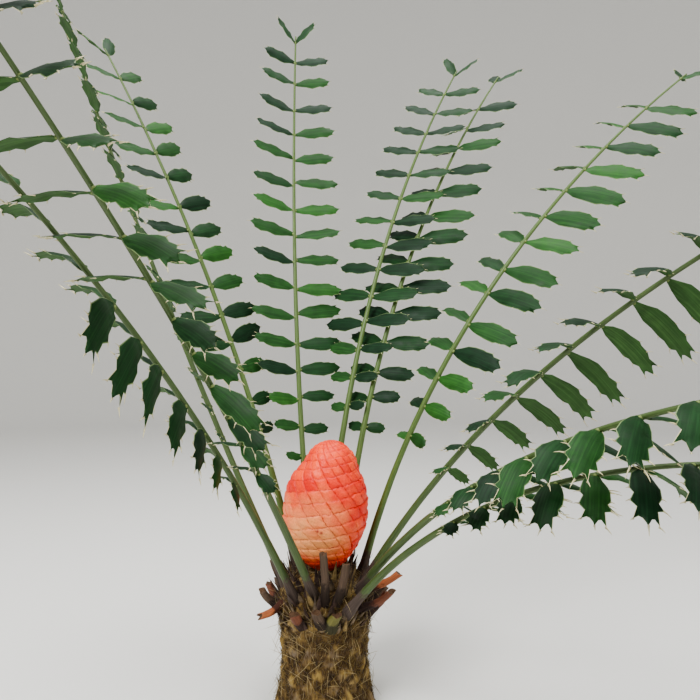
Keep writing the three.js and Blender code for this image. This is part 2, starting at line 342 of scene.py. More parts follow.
@dataclass(frozen=True)
class Finish:
    """A real surface that a material shows.

    Attributes:
        name: The material's name.
    """

    name: str

    def paint(self, tree: bpy.types.NodeTree) -> dict:
        """The principled shader's inputs, after adding the finish's own nodes to the tree."""
        raise NotImplementedError

    def material(self) -> bpy.types.Material:
        """The finish's material, made where it is first asked for.

        Returns:
            A material with one principled shader, which every piece in this finish shares.
        """
        material = bpy.data.materials.get(self.name)
        if material is None:
            material = bpy.data.materials.new(self.name)
            material.use_nodes = True
            tree = material.node_tree
            tree.nodes.clear()
            shader = add_node(tree, "BsdfPrincipled", self.paint(tree))
            add_node(tree, "OutputMaterial", {"Surface": shader})
        return material


@dataclass(frozen=True)
class LeafBlade(Finish):
    """Leathery cycad leaflet: a thick waxy cuticle over parallel veins, dark and half glossy.

    Attributes:
        colour: The blade between its veins.
        vein_colour: The slightly paler veins.
        roughness: The cuticle's.
        bump: Strength of the veins' relief.
        gloss: Level of its reflections.
    """

    colour: str
    vein_colour: str
    roughness: float = 0.5
    bump: float = 0.35
    gloss: float = 0.2
    # Veins are about 1.2 mm apart; drawn at 3.5 mm so that they show in the render
    vein_spacing: float = 3.5 * MM
    vein_length: float = 120 * MM
    mottle: float = 22 * MM

    def paint(self, tree: bpy.types.NodeTree) -> dict:
        """Streaks along the blade's own length tint it and lift the veins; soft mottling dulls it.

        Args:
            tree: The material's node tree.

        Returns:
            The principled shader's inputs.
        """
        along = drawn_out(tree, self.vein_length, self.vein_spacing)
        veins = add_node(tree, "TexNoise", {"Vector": along, "Scale": 1.0, "Detail": 1.0})
        place = add_node(tree, "TexCoord", {}, "Object")
        mottle = add_node(tree, "TexNoise", {"Vector": place, "Scale": 1 / self.mottle, "Detail": 3.0})
        streak = add_node(tree, "MapRange", {"Value": veins, "From Min": 0.42, "From Max": 0.68})
        colour = add_node(tree, "Mix", {
            0: streak, 6: linear(self.colour), 7: linear(self.vein_colour)}, 2, data_type="RGBA")
        value, rough = (add_node(tree, "MapRange", {
            "Value": mottle, "From Min": 0.3, "From Max": 0.7, "To Min": low, "To Max": high})
            for low, high in ((0.82, 1.16), (self.roughness - 0.07, self.roughness + 0.1)))
        tinted = add_node(tree, "HueSaturation", {"Color": colour, "Value": value})
        relief = add_node(tree, "Bump", {"Height": veins, "Strength": self.bump, "Distance": 0.6 * MM})
        return {"Base Color": tinted, "Roughness": rough, "Normal": relief, "IOR": IOR,
                "Specular IOR Level": self.gloss}


@dataclass(frozen=True)
class PlainTissue(Finish):
    """Horny or corky plant tissue in one colour, such as spines, margins and callus.

    Attributes:
        colour: Its colour.
        shade: The colour of its duller patches.
        grain: Real size of the patches.
    """

    colour: str
    shade: str
    roughness: float = 0.5
    grain: float = 4 * MM

    def paint(self, tree: bpy.types.NodeTree) -> dict:
        """Small soft patches between two colours, with a faint grain.

        Args:
            tree: The material's node tree.

        Returns:
            The principled shader's inputs.
        """
        place = add_node(tree, "TexCoord", {}, "Object")
        grain = add_node(tree, "TexNoise", {"Vector": place, "Scale": 1 / self.grain, "Detail": 4.0})
        colour = add_node(tree, "Mix", {
            0: grain, 6: linear(self.colour), 7: linear(self.shade)}, 2, data_type="RGBA")
        relief = add_node(tree, "Bump", {"Height": grain, "Strength": 0.3, "Distance": 0.5 * MM})
        return {"Base Color": colour, "Roughness": self.roughness, "Normal": relief, "IOR": IOR}


@dataclass(frozen=True)
class StreakedRind(Finish):
    """Smooth green rind or dry fibrous stalk, streaked along its length, corky where it is old.

    Attributes:
        colour: The rind.
        streak: Its streaks.
        old: What it turns to where the mark called age is 1.
        streak_width: Real width of a streak.
        scurf: Real size of the flakes at the edge of the corky part.
    """

    colour: str
    streak: str
    old: str
    roughness: float = 0.45
    bump: float = 0.3
    streak_width: float = 2.5 * MM
    streak_length: float = 70 * MM
    scurf: float = 9 * MM

    def paint(self, tree: bpy.types.NodeTree) -> dict:
        """Noise drawn out along the surface's own length mixes the colours and lifts fine ribs.

        Args:
            tree: The material's node tree.

        Returns:
            The principled shader's inputs.
        """
        along = drawn_out(tree, self.streak_length, self.streak_width)
        ribs = add_node(tree, "TexNoise", {"Vector": along, "Scale": 1.0, "Detail": 3.0})
        place = add_node(tree, "TexCoord", {}, "Object")
        scurf = add_node(tree, "TexNoise", {"Vector": place, "Scale": 1 / self.scurf, "Detail": 5.0})
        age = add_node(tree, "Attribute", {}, "Fac", attribute_name="age")
        mixed = add_node(tree, "MapRange", {"Value": ribs, "From Min": 0.35, "From Max": 0.65})
        young = add_node(tree, "Mix", {
            0: mixed, 6: linear(self.colour), 7: linear(self.streak)}, 2, data_type="RGBA")
        edge = add_node(tree, "Math", {0: scurf, 1: -0.5}, operation="ADD")
        edge = add_node(tree, "Math", {0: edge, 1: 1.1, 2: age}, operation="MULTIPLY_ADD")
        ageing = add_node(tree, "MapRange", {"Value": edge, "From Min": 0.3, "From Max": 0.7})
        dull = add_node(tree, "HueSaturation", {"Color": linear(self.old), "Value": mixed})
        dull = add_node(tree, "Mix", {0: 0.45, 6: linear(self.old), 7: dull}, 2, data_type="RGBA")
        colour = add_node(tree, "Mix", {0: ageing, 6: young, 7: dull}, 2, data_type="RGBA")
        rough = add_node(tree, "MapRange", {"Value": ageing, "To Min": self.roughness, "To Max": 0.85})
        relief = add_node(tree, "Bump", {"Height": ribs, "Strength": self.bump, "Distance": 1.0 * MM})
        return {"Base Color": colour, "Roughness": rough, "Normal": relief, "IOR": IOR}


@dataclass(frozen=True)
class ConeRind(Finish):
    """Fleshy coral rind of the seed cone's scales: waxy and finely warty, dark red in the grooves, with
    sunlight painted on one side.

    Attributes:
        colour: The deep red of young scales.
        ripe: The coral of ripe ones.
        painted_sun_colour: The pale peach of a pool of sunlight painted on one side of the cone.
        tint_and_sun_mottle: Real size of the soft changes of tint, which also mottle the painted sunlight.
    """

    name: str = "cone_rind_waxy"
    colour: str = "#dd1e14"
    ripe: str = "#ff5a30"
    # Pale peach of the sunlight that is painted on one side of the cone
    painted_sun_colour: str = "#ffaa6c"
    groove: str = "#8c1412"
    roughness: float = 0.46
    # Warts are about 1.5 mm across; drawn at 3 mm so that they show in the render
    wart: float = 3 * MM
    pores: float = 1.6 * MM
    tint_and_sun_mottle: float = 45 * MM

    def paint(self, tree: bpy.types.NodeTree) -> dict:
        """Tone tints scales, painted sunlight turns one side peach, groove darkens edges, cells raise warts.

        Args:
            tree: The material's node tree.

        Returns:
            The principled shader's inputs.
        """
        place = add_node(tree, "TexCoord", {}, "Object")
        tone, painted_sun, groove = (add_node(tree, "Attribute", {}, "Fac", attribute_name=name)
                             for name in ("tone", "painted_sun", "groove"))
        tint_and_sun_mottle, pores = (add_node(tree, "TexNoise", {"Vector": place, "Scale": 1 / size, "Detail": 2.0})
                        for size in (self.tint_and_sun_mottle, self.pores))
        warts = add_node(tree, "TexVoronoi", {
            "Vector": place, "Scale": 1 / self.wart, "Randomness": 1.0}, feature="SMOOTH_F1")
        share = add_node(tree, "Math", {0: tone, 1: tint_and_sun_mottle}, operation="ADD")
        share = add_node(tree, "MapRange", {"Value": share, "From Min": 0.55, "From Max": 1.45})
        skin = add_node(tree, "Mix", {
            0: share, 6: linear(self.colour), 7: linear(self.ripe)}, 2, data_type="RGBA")
        # Painted sunlight: the mark, mottled by noise, lays a pool of pale peach light on one side
        painted_sun = add_node(tree, "Math", {0: tint_and_sun_mottle, 1: 0.7, 2: painted_sun}, operation="MULTIPLY_ADD")
        painted_sun = add_node(tree, "MapRange", {"Value": painted_sun, "From Min": 0.5, "From Max": 1.25})
        skin = add_node(tree, "Mix", {0: painted_sun, 6: skin, 7: linear(self.painted_sun_colour)}, 2, data_type="RGBA")
        specks = add_node(tree, "MapRange", {
            "Value": warts, "From Min": 0.1, "From Max": 0.75, "To Min": 1.06, "To Max": 0.84})
        skin = add_node(tree, "HueSaturation", {"Color": skin, "Value": specks})
        colour = add_node(tree, "Mix", {0: groove, 6: skin, 7: linear(self.groove)}, 2, data_type="RGBA")
        height = add_node(tree, "Math", {0: warts, 1: -1.0, 2: pores}, operation="MULTIPLY_ADD")
        relief = add_node(tree, "Bump", {"Height": height, "Strength": 0.35, "Distance": 0.7 * MM})
        return {"Base Color": colour, "Roughness": self.roughness, "Normal": relief, "IOR": IOR}


@dataclass(frozen=True)
class FibrousBark(Finish):
    """Matted fibre and old leaf bases: golden tan on the tips, dark brown between them."""

    name: str = "trunk_fibre_matted"
    tip: str = "#937b47"
    middle: str = "#604a2c"
    gap: str = "#291d13"
    grey: str = "#76695a"
    roughness: float = 0.9
    # Fibres are under 1 mm thick; drawn at 2 mm so that they show in the render
    fibre_width: float = 2 * MM
    fibre_length: float = 26 * MM
    weathering: float = 40 * MM

    def paint(self, tree: bpy.types.NodeTree) -> dict:
        """The mark called height runs from the gaps to the tips; drawn-out noise makes the fibres.

        Args:
            tree: The material's node tree.

        Returns:
            The principled shader's inputs.
        """
        along = drawn_out(tree, self.fibre_length, self.fibre_width)
        fibres = add_node(tree, "TexNoise", {
            "Vector": along, "Scale": 1.0, "Detail": 4.0, "Distortion": 0.6})
        place = add_node(tree, "TexCoord", {}, "Object")
        weather = add_node(tree, "TexNoise", {
            "Vector": place, "Scale": 1 / self.weathering, "Detail": 3.0})
        height = add_node(tree, "Attribute", {}, "Fac", attribute_name="height")
        level = add_node(tree, "Math", {0: fibres, 1: -0.5}, operation="ADD")
        level = add_node(tree, "Math", {0: level, 1: 1.6, 2: height}, operation="MULTIPLY_ADD")
        low, high, old = (add_node(tree, "MapRange", {"Value": value, "From Min": first, "From Max": last})
                          for value, first, last in (
                              (level, 0.05, 0.45), (level, 0.45, 0.95), (weather, 0.45, 0.65)))
        tip = add_node(tree, "Mix", {
            0: old, 6: linear(self.tip), 7: linear(self.grey)}, 2, data_type="RGBA")
        body = add_node(tree, "Mix", {
            0: low, 6: linear(self.gap), 7: linear(self.middle)}, 2, data_type="RGBA")
        colour = add_node(tree, "Mix", {0: high, 6: body, 7: tip}, 2, data_type="RGBA")
        relief = add_node(tree, "Bump", {"Height": fibres, "Strength": 0.8, "Distance": 2.0 * MM})
        return {"Base Color": colour, "Roughness": self.roughness, "Normal": relief, "IOR": IOR}


@dataclass(frozen=True)
class MattPaint(Finish):
    """Matt white paint of the studio's floor, without sheen."""

    name: str = "studio_floor_matt"
    colour: str = "#e6e5e1"

    def paint(self, tree: bpy.types.NodeTree) -> dict:
        """One even colour."""
        return {"Base Color": linear(self.colour), "Roughness": 0.9}


# Greens that differ at random from leaflet to leaflet, and partly painted light: deep and dusk are painted
# shade, fresh is painted light
LEAF_TINTS = (
    LeafBlade("leaflet_deep_shaded", "#122a17", "#1b3821"),
    LeafBlade("leaflet_dusk_shaded", "#173519", "#224423"),
    LeafBlade("leaflet_mid", "#1f421c", "#2b5325"),
    LeafBlade("leaflet_fresh_lit", "#27511f", "#346229"),
)
UNDERSIDE = LeafBlade("leaflet_underside", "#38552f", "#48683b", roughness=0.6, bump=0.55)
MARGIN = PlainTissue("leaflet_margin_horn", "#62784a", "#788a5a")
HORN = PlainTissue("spine_horn", "#dcd6b4", "#b8ab80", roughness=0.4)
# Counted by the blades' faces: the four tints, the underside, the margin and the horn
LEAF_FINISHES = (*LEAF_TINTS, UNDERSIDE, MARGIN, HORN)
CALLUS = PlainTissue("callus_cork", "#7c8a52", "#5f6d3c", roughness=0.6)
RIB_PALE = StreakedRind("rib_rind_pale", "#465b2b", "#5b723a", "#574a42")
RIB_OLIVE = StreakedRind("rib_rind_olive", "#3c4e29", "#526539", "#5a4d46")
FIBRES = (
    PlainTissue("fibre_gold", "#8f7844", "#6f5b31", roughness=0.8),
    PlainTissue("fibre_brown", "#57412a", "#3f2e1d", roughness=0.8),
    PlainTissue("fibre_pale", "#b8a67c", "#93815a", roughness=0.7),
    PlainTissue("fibre_grey", "#77695a", "#574b3f", roughness=0.8),
)
BRACTS = (
    StreakedRind("bract_purple_brown", "#4b3a34", "#5f4b42", "#3a2a24", roughness=0.8, bump=0.6),
    StreakedRind("bract_grey_brown", "#6d5d4a", "#83725b", "#54463a", roughness=0.8, bump=0.6),
    StreakedRind("bract_straw", "#8a7348", "#a08a5c", "#6a5637", roughness=0.8, bump=0.6),
)
# In the order of StubKind, and the torn cut last
STUBS = (
    StreakedRind("stub_grey_dry", "#4a3b30", "#625041", "#35281f", roughness=0.8, bump=0.7),
    StreakedRind("stub_russet_dry", "#643a2b", "#7c4c35", "#3b2823", roughness=0.7, bump=0.6),
    StreakedRind("stub_orange_peeled", "#8c4a2c", "#a8673f", "#4d2a1c", roughness=0.6, bump=0.5),
    StreakedRind("stub_olive_fresh", "#5c5a2c", "#736e38", "#43402a", roughness=0.55, bump=0.4),
    PlainTissue("stub_torn_pith", "#6d5138", "#33231a", roughness=0.85, grain=3 * MM),
)


def new_object(name: str, skin: Skin, finishes: tuple[Finish, ...]) -> bpy.types.Object:
    """Puts a skin into the scene.

    Args:
        name: The object's name.
        skin: Its surface.
        finishes: The finishes that the skin's finish numbers count.

    Returns:
        The new object, at the origin.
    """
    mesh = bpy.data.meshes.new(name)
    loops = np.concatenate([skin.quads.ravel(), skin.triangles.ravel()]).astype(np.int32)
    fours, threes = len(skin.quads), len(skin.triangles)
    starts = np.concatenate([np.arange(fours) * 4, fours * 4 + np.arange(threes) * 3])
    mesh.vertices.add(len(skin.points))
    mesh.vertices.foreach_set("co", skin.points.astype(np.float32).ravel())
    mesh.loops.add(len(loops))
    mesh.loops.foreach_set("vertex_index", loops)
    mesh.polygons.add(fours + threes)
    mesh.polygons.foreach_set("loop_start", starts.astype(np.int32))
    for finish in finishes:
        mesh.materials.append(finish.material())
    mesh.polygons.foreach_set("material_index", skin.finish.astype(np.int32))
    mesh.update(calc_edges=True)
    mesh.polygons.foreach_set("use_smooth", ~skin.sharp)
    layer = mesh.uv_layers.new(name="surface")
    layer.data.foreach_set("uv", skin.uv[loops].astype(np.float32).ravel())
    for key, values in skin.marks.items():
        mark = mesh.attributes.new(key, "FLOAT", "POINT")
        mark.data.foreach_set("value", values.astype(np.float32))
    made = bpy.data.objects.new(name, mesh)
    bpy.context.scene.collection.objects.link(made)
    log.info("%s: %d faces", name, fours + threes)
    return made


def add_piece(name: str, skin: Skin, finishes: tuple[Finish, ...],
              nodes: list[str]) -> None:
    """Puts a closed skin into the scene as a piece of the plant that rides on its body.

    Args:
        name: The piece's name.
        skin: Its surface.
        finishes: The finishes that the skin's finish numbers count.
        nodes: The CAD nodes that the piece stands for.
    """
    piece = new_object(name, outward(skin), finishes)
    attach(piece, BODY)
    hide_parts(*nodes)


# Fronds


@dataclass(frozen=True)
class FrondPlan:
    """How one frond stands, by the rule and the sizes of the solids.

    Attributes:
        name: The frond's node.
        seat: Azimuth, radius and height of its foot on the crown.
        azimuth: Where it grows towards.
        rise: Degrees above the horizontal at the foot and at the tip.
        swing: Degrees that it turns in azimuth from foot to tip.
        length: From foot to tip.
        bare: Length of the petiole.
        roll: Degrees that its plane is turned about the rib at the foot and at the tip.
        spread: Degrees between rib and leaflet.
        twist: Degrees that a leaflet is turned about its own length, in the left and right row.
        lift: Degrees that it stands above the frond's plane.
        sag: How far its tip hangs, as a share of its length.
        size: Its leaflets against common ones.
        broad: The breadth of its leaflets against common ones.
        tints: Chances of each leaf tint.
        spiny: From 0, nearly smooth margins, to 1, deep scallops and long spines.
    """

    name: str
    seat: tuple[float, float, float]
    azimuth: float
    rise: tuple[float, float]
    swing: float
    length: float
    bare: float
    roll: tuple[float, float]
    spread: float
    twist: tuple[float, float]
    lift: float
    sag: float
    size: float = 1.0
    broad: float = 1.0
    tints: tuple[float, ...] = (0.3, 0.4, 0.25, 0.05)
    spiny: float = 0.0

    def foot(self) -> np.ndarray:
        """The point on the crown that the frond grows from."""
        return direction(self.seat[0]) * self.seat[1] + UP * self.seat[2]

    def sized(self, ends: tuple[float, float]) -> float:
        """A size between the smoothest and the spiniest frond's."""
        return between(ends, self.spiny)


# Chances of the leaf tints: DARK gives a frond mostly the painted-shade tints, FRESH mostly the lighter
# ones, which are partly painted light
DARK = (0.5, 0.35, 0.15, 0.0)
FRESH = (0.15, 0.3, 0.35, 0.2)

FRONDS = (
    FrondPlan("frond_front_left_inner", (-166, 0.098, 0.296), -160, (52, 40), 5, 1.60, 0.456,
              (37, -2), 85, (75, 45), -8, 0.2, spiny=0.85),
    FrondPlan("frond_front_left_outer", (-139, 0.108, 0.284), -151, (57, 32), 0, 1.70, 0.393,
              (34, 54), 64, (-10, 15), -2, 0.85, broad=1.25, spiny=0.95),
    FrondPlan("frond_left", (-104, 0.098, 0.296), -103, (66, 73), 0, 1.70, 0.42,
              (0, 0), 82, (22, 22), 6, 0.05, tints=DARK, spiny=0.4),
    FrondPlan("frond_back_left", (-48, 0.098, 0.296), -70, (75, 61), -8, 1.60, 0.405,
              (24, 20), 83, (25, 5), 1, 0.05, tints=FRESH, spiny=0.2),
    FrondPlan("frond_back", (-22, 0.098, 0.296), -24, (74, 80), 27, 1.66, 0.311,
              (-12, -21), 86, (25, 25), 9, 0, tints=FRESH, spiny=0.1),
    FrondPlan("frond_back_right_inner", (-1, 0.104, 0.290), 38, (82, 56), 13, 1.66, 0.459,
              (5, -24), 86, (20, 15), 3, 0.05, tints=DARK, spiny=0.1),
    FrondPlan("frond_back_right_outer", (24, 0.104, 0.290), 48, (82, 52), 8, 1.65, 0.401,
              (-29, -8), 81, (22, 5), -10, 0.05, tints=DARK, spiny=0.15),
    FrondPlan("frond_right", (62, 0.104, 0.290), 108, (76, 37), -35, 1.66, 0.405,
              (-40, -23), 80, (40, 5), -4, 0.25, size=1.12, tints=FRESH, spiny=0.25),
    FrondPlan("frond_front_right_upper", (98, 0.098, 0.296), 112, (60, 15), 38, 1.65, 0.385,
              (23, 40), 81, (12, 40), -11, 0.6, spiny=0.7),
    FrondPlan("frond_front_right_lower", (150, 0.122, 0.262), 134, (50, -16), 0, 1.50, 0.42,
              (0, 0), 70, (32, 32), -4, 0.5, spiny=1.0),
    FrondPlan("frond_front_right_inner", (127, 0.104, 0.294), 148, (46, 0), 0, 1.58, 0.46,
              (0, 0), 66, (32, 32), -6, 0.6, spiny=1.0),
)


@dataclass(frozen=True)
class Leaflet:
    """The leaflet's own sizes and outline; a pair is for the smoothest and the spiniest frond."""

    length: float = 145 * MM
    width: float = 50 * MM
    pitch: float = 84 * MM
    closing: float = 12
    first_scale: float = 0.42
    growth: float = 2.7
    tip_loss: float = 0.35
    tip_power: float = 5
    end_angle: float = 34
    end_share: float = 0.985
    # Rings of the blade as shares of its length. Some carry a cusp, the last of them at the corner
    # of the apex, and the three rings after it make the arches on both sides of the tip
    rings: tuple[float, ...] = (
        0.0, 0.06, 0.16, 0.3, 0.44, 0.56, 0.65, 0.74, 0.81, 0.875, 0.9, 0.925, 0.96)
    cusps: tuple[int, ...] = (5, 7, 9)
    cusp_heights: tuple[tuple[float, float], ...] = (
        (0.0 * MM, 3.0 * MM), (1.2 * MM, 5.0 * MM), (2.0 * MM, 7.0 * MM))
    spine_leans: tuple[float, ...] = (0.2, 0.5, 1.3)
    cusp_vary: tuple[float, float] = (0.35, 1.2)
    cusp_forward: float = 0.02
    scallop: tuple[float, float] = (0.4 * MM, 3.0 * MM)
    scallops_from: float = 0.6
    ragged: float = 0.006
    ragged_from: float = 0.2
    corner_lead: tuple[float, float] = (0.01, 0.07)
    arch_widths: tuple[tuple[float, float], ...] = ((0.8, 0.6), (0.58, 0.36), (0.3, 0.13))
    arch_leads: tuple[tuple[float, float], ...] = ((0.0, -0.003), (0.0, -0.022), (0.0, -0.005))
    least_breadth: float = 1.2 * MM
    stalk_width: float = 4.5 * MM
    # Places across the half width: the inner edge of the margin and the middle of the half blade
    margin: float = 0.94
    middle: float = 0.5
    thickness: float = 1.6 * MM
    keel: float = 0.3
    section: tuple[float, ...] = (0.7, 0.9, 1.0, 0.9, 0.7)
    # Margins droop and wave by shares of the half width; the blade curls by a share of its length
    droop: float = 0.16
    wave: float = 0.11
    waves: float = 2.6
    wave_shift: float = 2.1
    curl: tuple[float, float] = (0.05, 0.2)
    curl_vary: tuple[float, float] = (0.5, 1.3)
    # Spines on the cusps, the tip's against them, and two beside the stalk, each given as its ring,
    # its share of a full spine, its lean and its side
    spine_length: tuple[float, float] = (5 * MM, 14 * MM)
    spine_radius: tuple[float, float] = (0.8 * MM, 1.5 * MM)
    spine_shares: tuple[float, ...] = (0.75, 0.9, 1.0)
    tip_spine: float = 1.6
    stalk_spines: tuple[tuple[int, float, float, int], ...] = ((1, 0.4, 0.2, 1), (2, 0.35, 0.2, 1))
    spine_stations: tuple[tuple[float, float], ...] = ((-0.2, 1.5), (0.35, 0.8), (0.75, 0.5))
    spine_sag: float = 0.22
    # The callus: its size and, for each ring, the share of the rib's radius and of that size
    callus: float = 3.4 * MM
    callus_rings: tuple[tuple[float, float], ...] = ((0.45, 0.9), (0.95, 1.25), (1.35, 0.75))
    # Irregularity of place as a share of the pitch, of angles in degrees, and of size
    stagger: float = 0.09
    unruly: tuple[tuple[str, float], ...] = (("angle", 2.2), ("twist", 5.0), ("lift", 2.2))
    uneven: float = 0.03

    def scale(self, leafy: np.ndarray) -> np.ndarray:
        """Size against a full leaflet at a share of the leafy part."""
        growing = np.minimum(1, self.first_scale + self.growth * leafy)
        return growing * (1 - self.tip_loss * leafy ** self.tip_power)

    def half_width(self, run: np.ndarray) -> np.ndarray:
        """The outline: sin(pi s)^0.75 to the middle, then (1 - t^2.6)^0.75, a blunt end.

        Args:
            run: Shares of the length.

        Returns:
            Shares of the half width.
        """
        first = np.sin(np.pi * np.clip(run, 0, 0.5)) ** 0.75
        last = np.maximum(0, 1 - (2 * np.maximum(run, 0.5) - 1) ** 2.6) ** 0.75
        return np.where(run < 0.5, first, last)


class Stand(NamedTuple):
    """How leaflets stand: foot, run, breadth and the underside's direction, each n by 3."""

    foot: np.ndarray
    out: np.ndarray
    across: np.ndarray
    under: np.ndarray

    def place(self, run: np.ndarray, breadth: np.ndarray, depth: np.ndarray) -> np.ndarray:
        """Points from their metres along, across and below, leaflets by rings by corners by 3."""
        foot, out, across, under = (v[:, None, None] for v in self)
        return foot + out * run[..., None] + across * breadth[..., None] + under * depth[..., None]


@dataclass
class Frond:
    """One frond: its rib, its spiny leaflets, their spines and the callus at each foot.

    Attributes:
        plan: How it stands.
        leaf: The leaflets' sizes.
        seed: The seed of its small irregularities.
        flatness: Depth of the rib's section against its width.
        sunk: How far the rib starts inside the trunk.
        swell: How much the foot's collar stands out, as a share of the rib's radius.
        lumps: Height of the rib's lumps, as a share of its radius.
        groove: Depth of the groove in the leafy part, as a share of its radius.
        tip_reach: How near a leaflet's tip has to be to a corner of the solid.
        tipmost: From this share of the length on, leaflets aren't staggered.
        spiny_rim: Above this spininess, the margin is pale horn from just before the last cusp on.
        olive_rib: From this spininess on, the rib is olive.
    """

    plan: FrondPlan
    leaf: Leaflet
    seed: int
    foot_radius: float = 15 * MM
    petiole_radius: float = 11 * MM
    rib_radius: float = 8 * MM
    tip_radius: float = 2.6 * MM
    flatness: float = 0.9
    foot_length: float = 60 * MM
    sunk: float = 12 * MM
    collar_length: float = 88 * MM
    swell: float = 0.22
    lumps: float = 0.035
    groove: float = 0.16
    tip_reach: float = 8 * MM
    tipmost: float = 0.97
    spiny_rim: float = 0.5
    olive_rib: float = 0.3
    steps: int = 200
    rib_rings: int = 120
    rib_sides: int = 16

    def __post_init__(self) -> None:
        """Works out the centre line: each short step goes along the mean direction over it."""
        share = (np.arange(self.steps) + 0.5) / self.steps
        steps = self.heading(share) * self.plan.length / self.steps
        self.line = self.plan.foot() + np.concatenate([np.zeros((1, 3)), np.cumsum(steps, axis=0)])
        self.rng = np.random.default_rng(SEED * 1000 + self.seed)

    def heading(self, share: np.ndarray) -> np.ndarray:
        """The direction that the rib grows in at shares of its length."""
        return direction(self.plan.azimuth + self.plan.swing * share, between(self.plan.rise, share))

    def at(self, distance: np.ndarray) -> tuple[np.ndarray, np.ndarray, np.ndarray, np.ndarray]:
        """The centre and the three directions at distances along the frond.

        Args:
            distance: Metres from the foot; below 0 the line goes straight on back.

        Returns:
            Centre, along the rib, to its right and out of its upper face, each n by 3.
        """
        share = np.clip(distance / self.plan.length, 0, 1)
        marks = np.linspace(0, 1, self.steps + 1)
        centre = stacked(*[np.interp(share, marks, self.line[:, k]) for k in range(3)])
        along = self.heading(share)
        side = direction(self.plan.azimuth + self.plan.swing * share + 90)
        upper = unit(np.cross(side, along))
        side = np.cross(along, upper)
        roll = np.radians(between(self.plan.roll, share))[:, None]
        side, upper = side * np.cos(roll) + upper * np.sin(roll), upper * np.cos(roll) - side * np.sin(roll)
        return centre + along * np.minimum(0, distance)[:, None], along, side, upper

    def stem_radius(self, distance: np.ndarray) -> np.ndarray:
        """A swollen foot that fades along the petiole, then an even taper to the tip.

        Args:
            distance: Metres from the foot.

        Returns:
            The stem's radius there.
        """
        plan = self.plan
        fading = np.exp(-np.maximum(distance, 0) / self.foot_length)
        foot = between((self.petiole_radius, self.foot_radius), fading)
        petiole = foot + (self.rib_radius - foot) * np.clip(distance / plan.bare, 0, 1)
        share = np.clip((distance - plan.bare) / (plan.length - plan.bare), 0, 1)
        return np.where(distance < plan.bare, petiole, between((self.rib_radius, self.tip_radius), share))

    def rib(self) -> Skin:
        """Petiole and rib: an ellipse with a shallow groove along its lower face, on a corky foot.

        Returns:
            Their skin, with the mark called age.
        """
        plan = self.plan
        distance = between((-self.sunk, plan.length), np.linspace(0, 1, self.rib_rings))
        centre, along, side, upper = self.at(distance)
        collar = 1 + self.swell * np.exp(-(np.maximum(distance, 0) / (0.5 * self.foot_length)) ** 2)
        lumps = 1 + self.lumps * soft_noise(self.rib_rings, self.rib_sides, (34, 6), self.rng)
        angle = np.linspace(0, 2 * np.pi, self.rib_sides, endpoint=False)
        leafy = smooth_step(distance, 0.6 * plan.bare, plan.bare)[:, None]
        groove = 1 - self.groove * leafy * np.exp(-((angle - np.pi / 2) / 0.45) ** 2)
        reach = (self.stem_radius(distance) * collar)[:, None] * lumps
        u = reach * np.cos(angle)
        v = reach * np.sin(angle) * self.flatness * groove
        # side, then upper, turns clockwise about the way that the rib grows, so v runs downwards
        rings = centre[:, None] + side[:, None] * u[..., None] - upper[:, None] * v[..., None]
        skin = loft(rings[None], centre[:1], centre[-1:] + along[-1:] * self.tip_radius)
        skin.uv = loft_values(stacked(distance[:, None], angle * self.petiole_radius)[None])
        age = 1 - smooth_step(distance, 0.4 * self.collar_length, 1.5 * self.collar_length)
        skin.marks = {"age": loft_values(np.broadcast_to(age[:, None], u.shape)[None])}
        return skin

    def seats(self) -> dict[str, np.ndarray]:
        """Where the leaflets stand: distance, hand, angles and size.

        A leaflet that the solid lacks, because it would touch something, is left out: its tip has
        no corner of the solid near it. The rest get small irregularities.

        Returns:
            The values of all leaflets by name.
        """
        plan, leaf, rng = self.plan, self.leaf, self.rng
        pairs = int((plan.length - plan.bare) / leaf.pitch)
        k = np.arange(pairs)
        distance = np.repeat(np.append(plan.bare + k * leaf.pitch, plan.length * leaf.end_share), 2)
        leafy = np.clip((distance - plan.bare) / (plan.length - plan.bare), 0, 1)
        seats = {
            "distance": distance,
            "hand": np.tile([-1.0, 1.0], pairs + 1),
            "angle": np.repeat(np.append(plan.spread - leaf.closing * k / pairs, leaf.end_angle), 2),
            "twist": np.tile(np.array(plan.twist, float), pairs + 1),
            "lift": np.full(len(distance), float(plan.lift)),
            "scale": leaf.scale(leafy) * plan.size,
        }
        stand = self.stand(seats)
        tip = stand.foot + (stand.out - UP * plan.sag / 2) * (leaf.length * seats["scale"])[:, None]
        corners = np.array([v.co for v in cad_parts[plan.name].data.vertices])
        near = np.linalg.norm(tip[:, None] - corners, axis=-1).min(axis=1) < self.tip_reach
        seats = {key: values[near] for key, values in seats.items()}
        count = len(seats["scale"])
        log.info("%s: %d of %d leaflets", plan.name, count, len(distance))
        stagger = rng.uniform(-leaf.stagger, leaf.stagger, count) * leaf.pitch
        seats["distance"] += stagger * (seats["distance"] < self.tipmost * plan.length)
        for key, spread in leaf.unruly:
            seats[key] += rng.normal(0, spread, count)
        seats["scale"] *= 1 + rng.normal(0, leaf.uneven, count)
        return seats

    def stand(self, seats: dict[str, np.ndarray]) -> Stand:
        """How the leaflets stand at their seats.

        Args:
            seats: Their values by name.

        Returns:
            Each leaflet's foot and directions.
        """
        centre, along, side, upper = self.at(seats["distance"])
        spread, lift, twist = (np.radians(seats[key])[:, None] for key in ("angle", "lift", "twist"))
        hand = seats["hand"][:, None]
        level = side * hand * np.sin(spread) + along * np.cos(spread)
        out = unit(level * np.cos(lift) + upper * np.sin(lift))
        across = along * np.cos(twist) - upper * np.sin(twist)
        across = unit(across - out * np.sum(across * out, axis=-1, keepdims=True)) * hand
        return Stand(centre, out, across, np.cross(across, out))

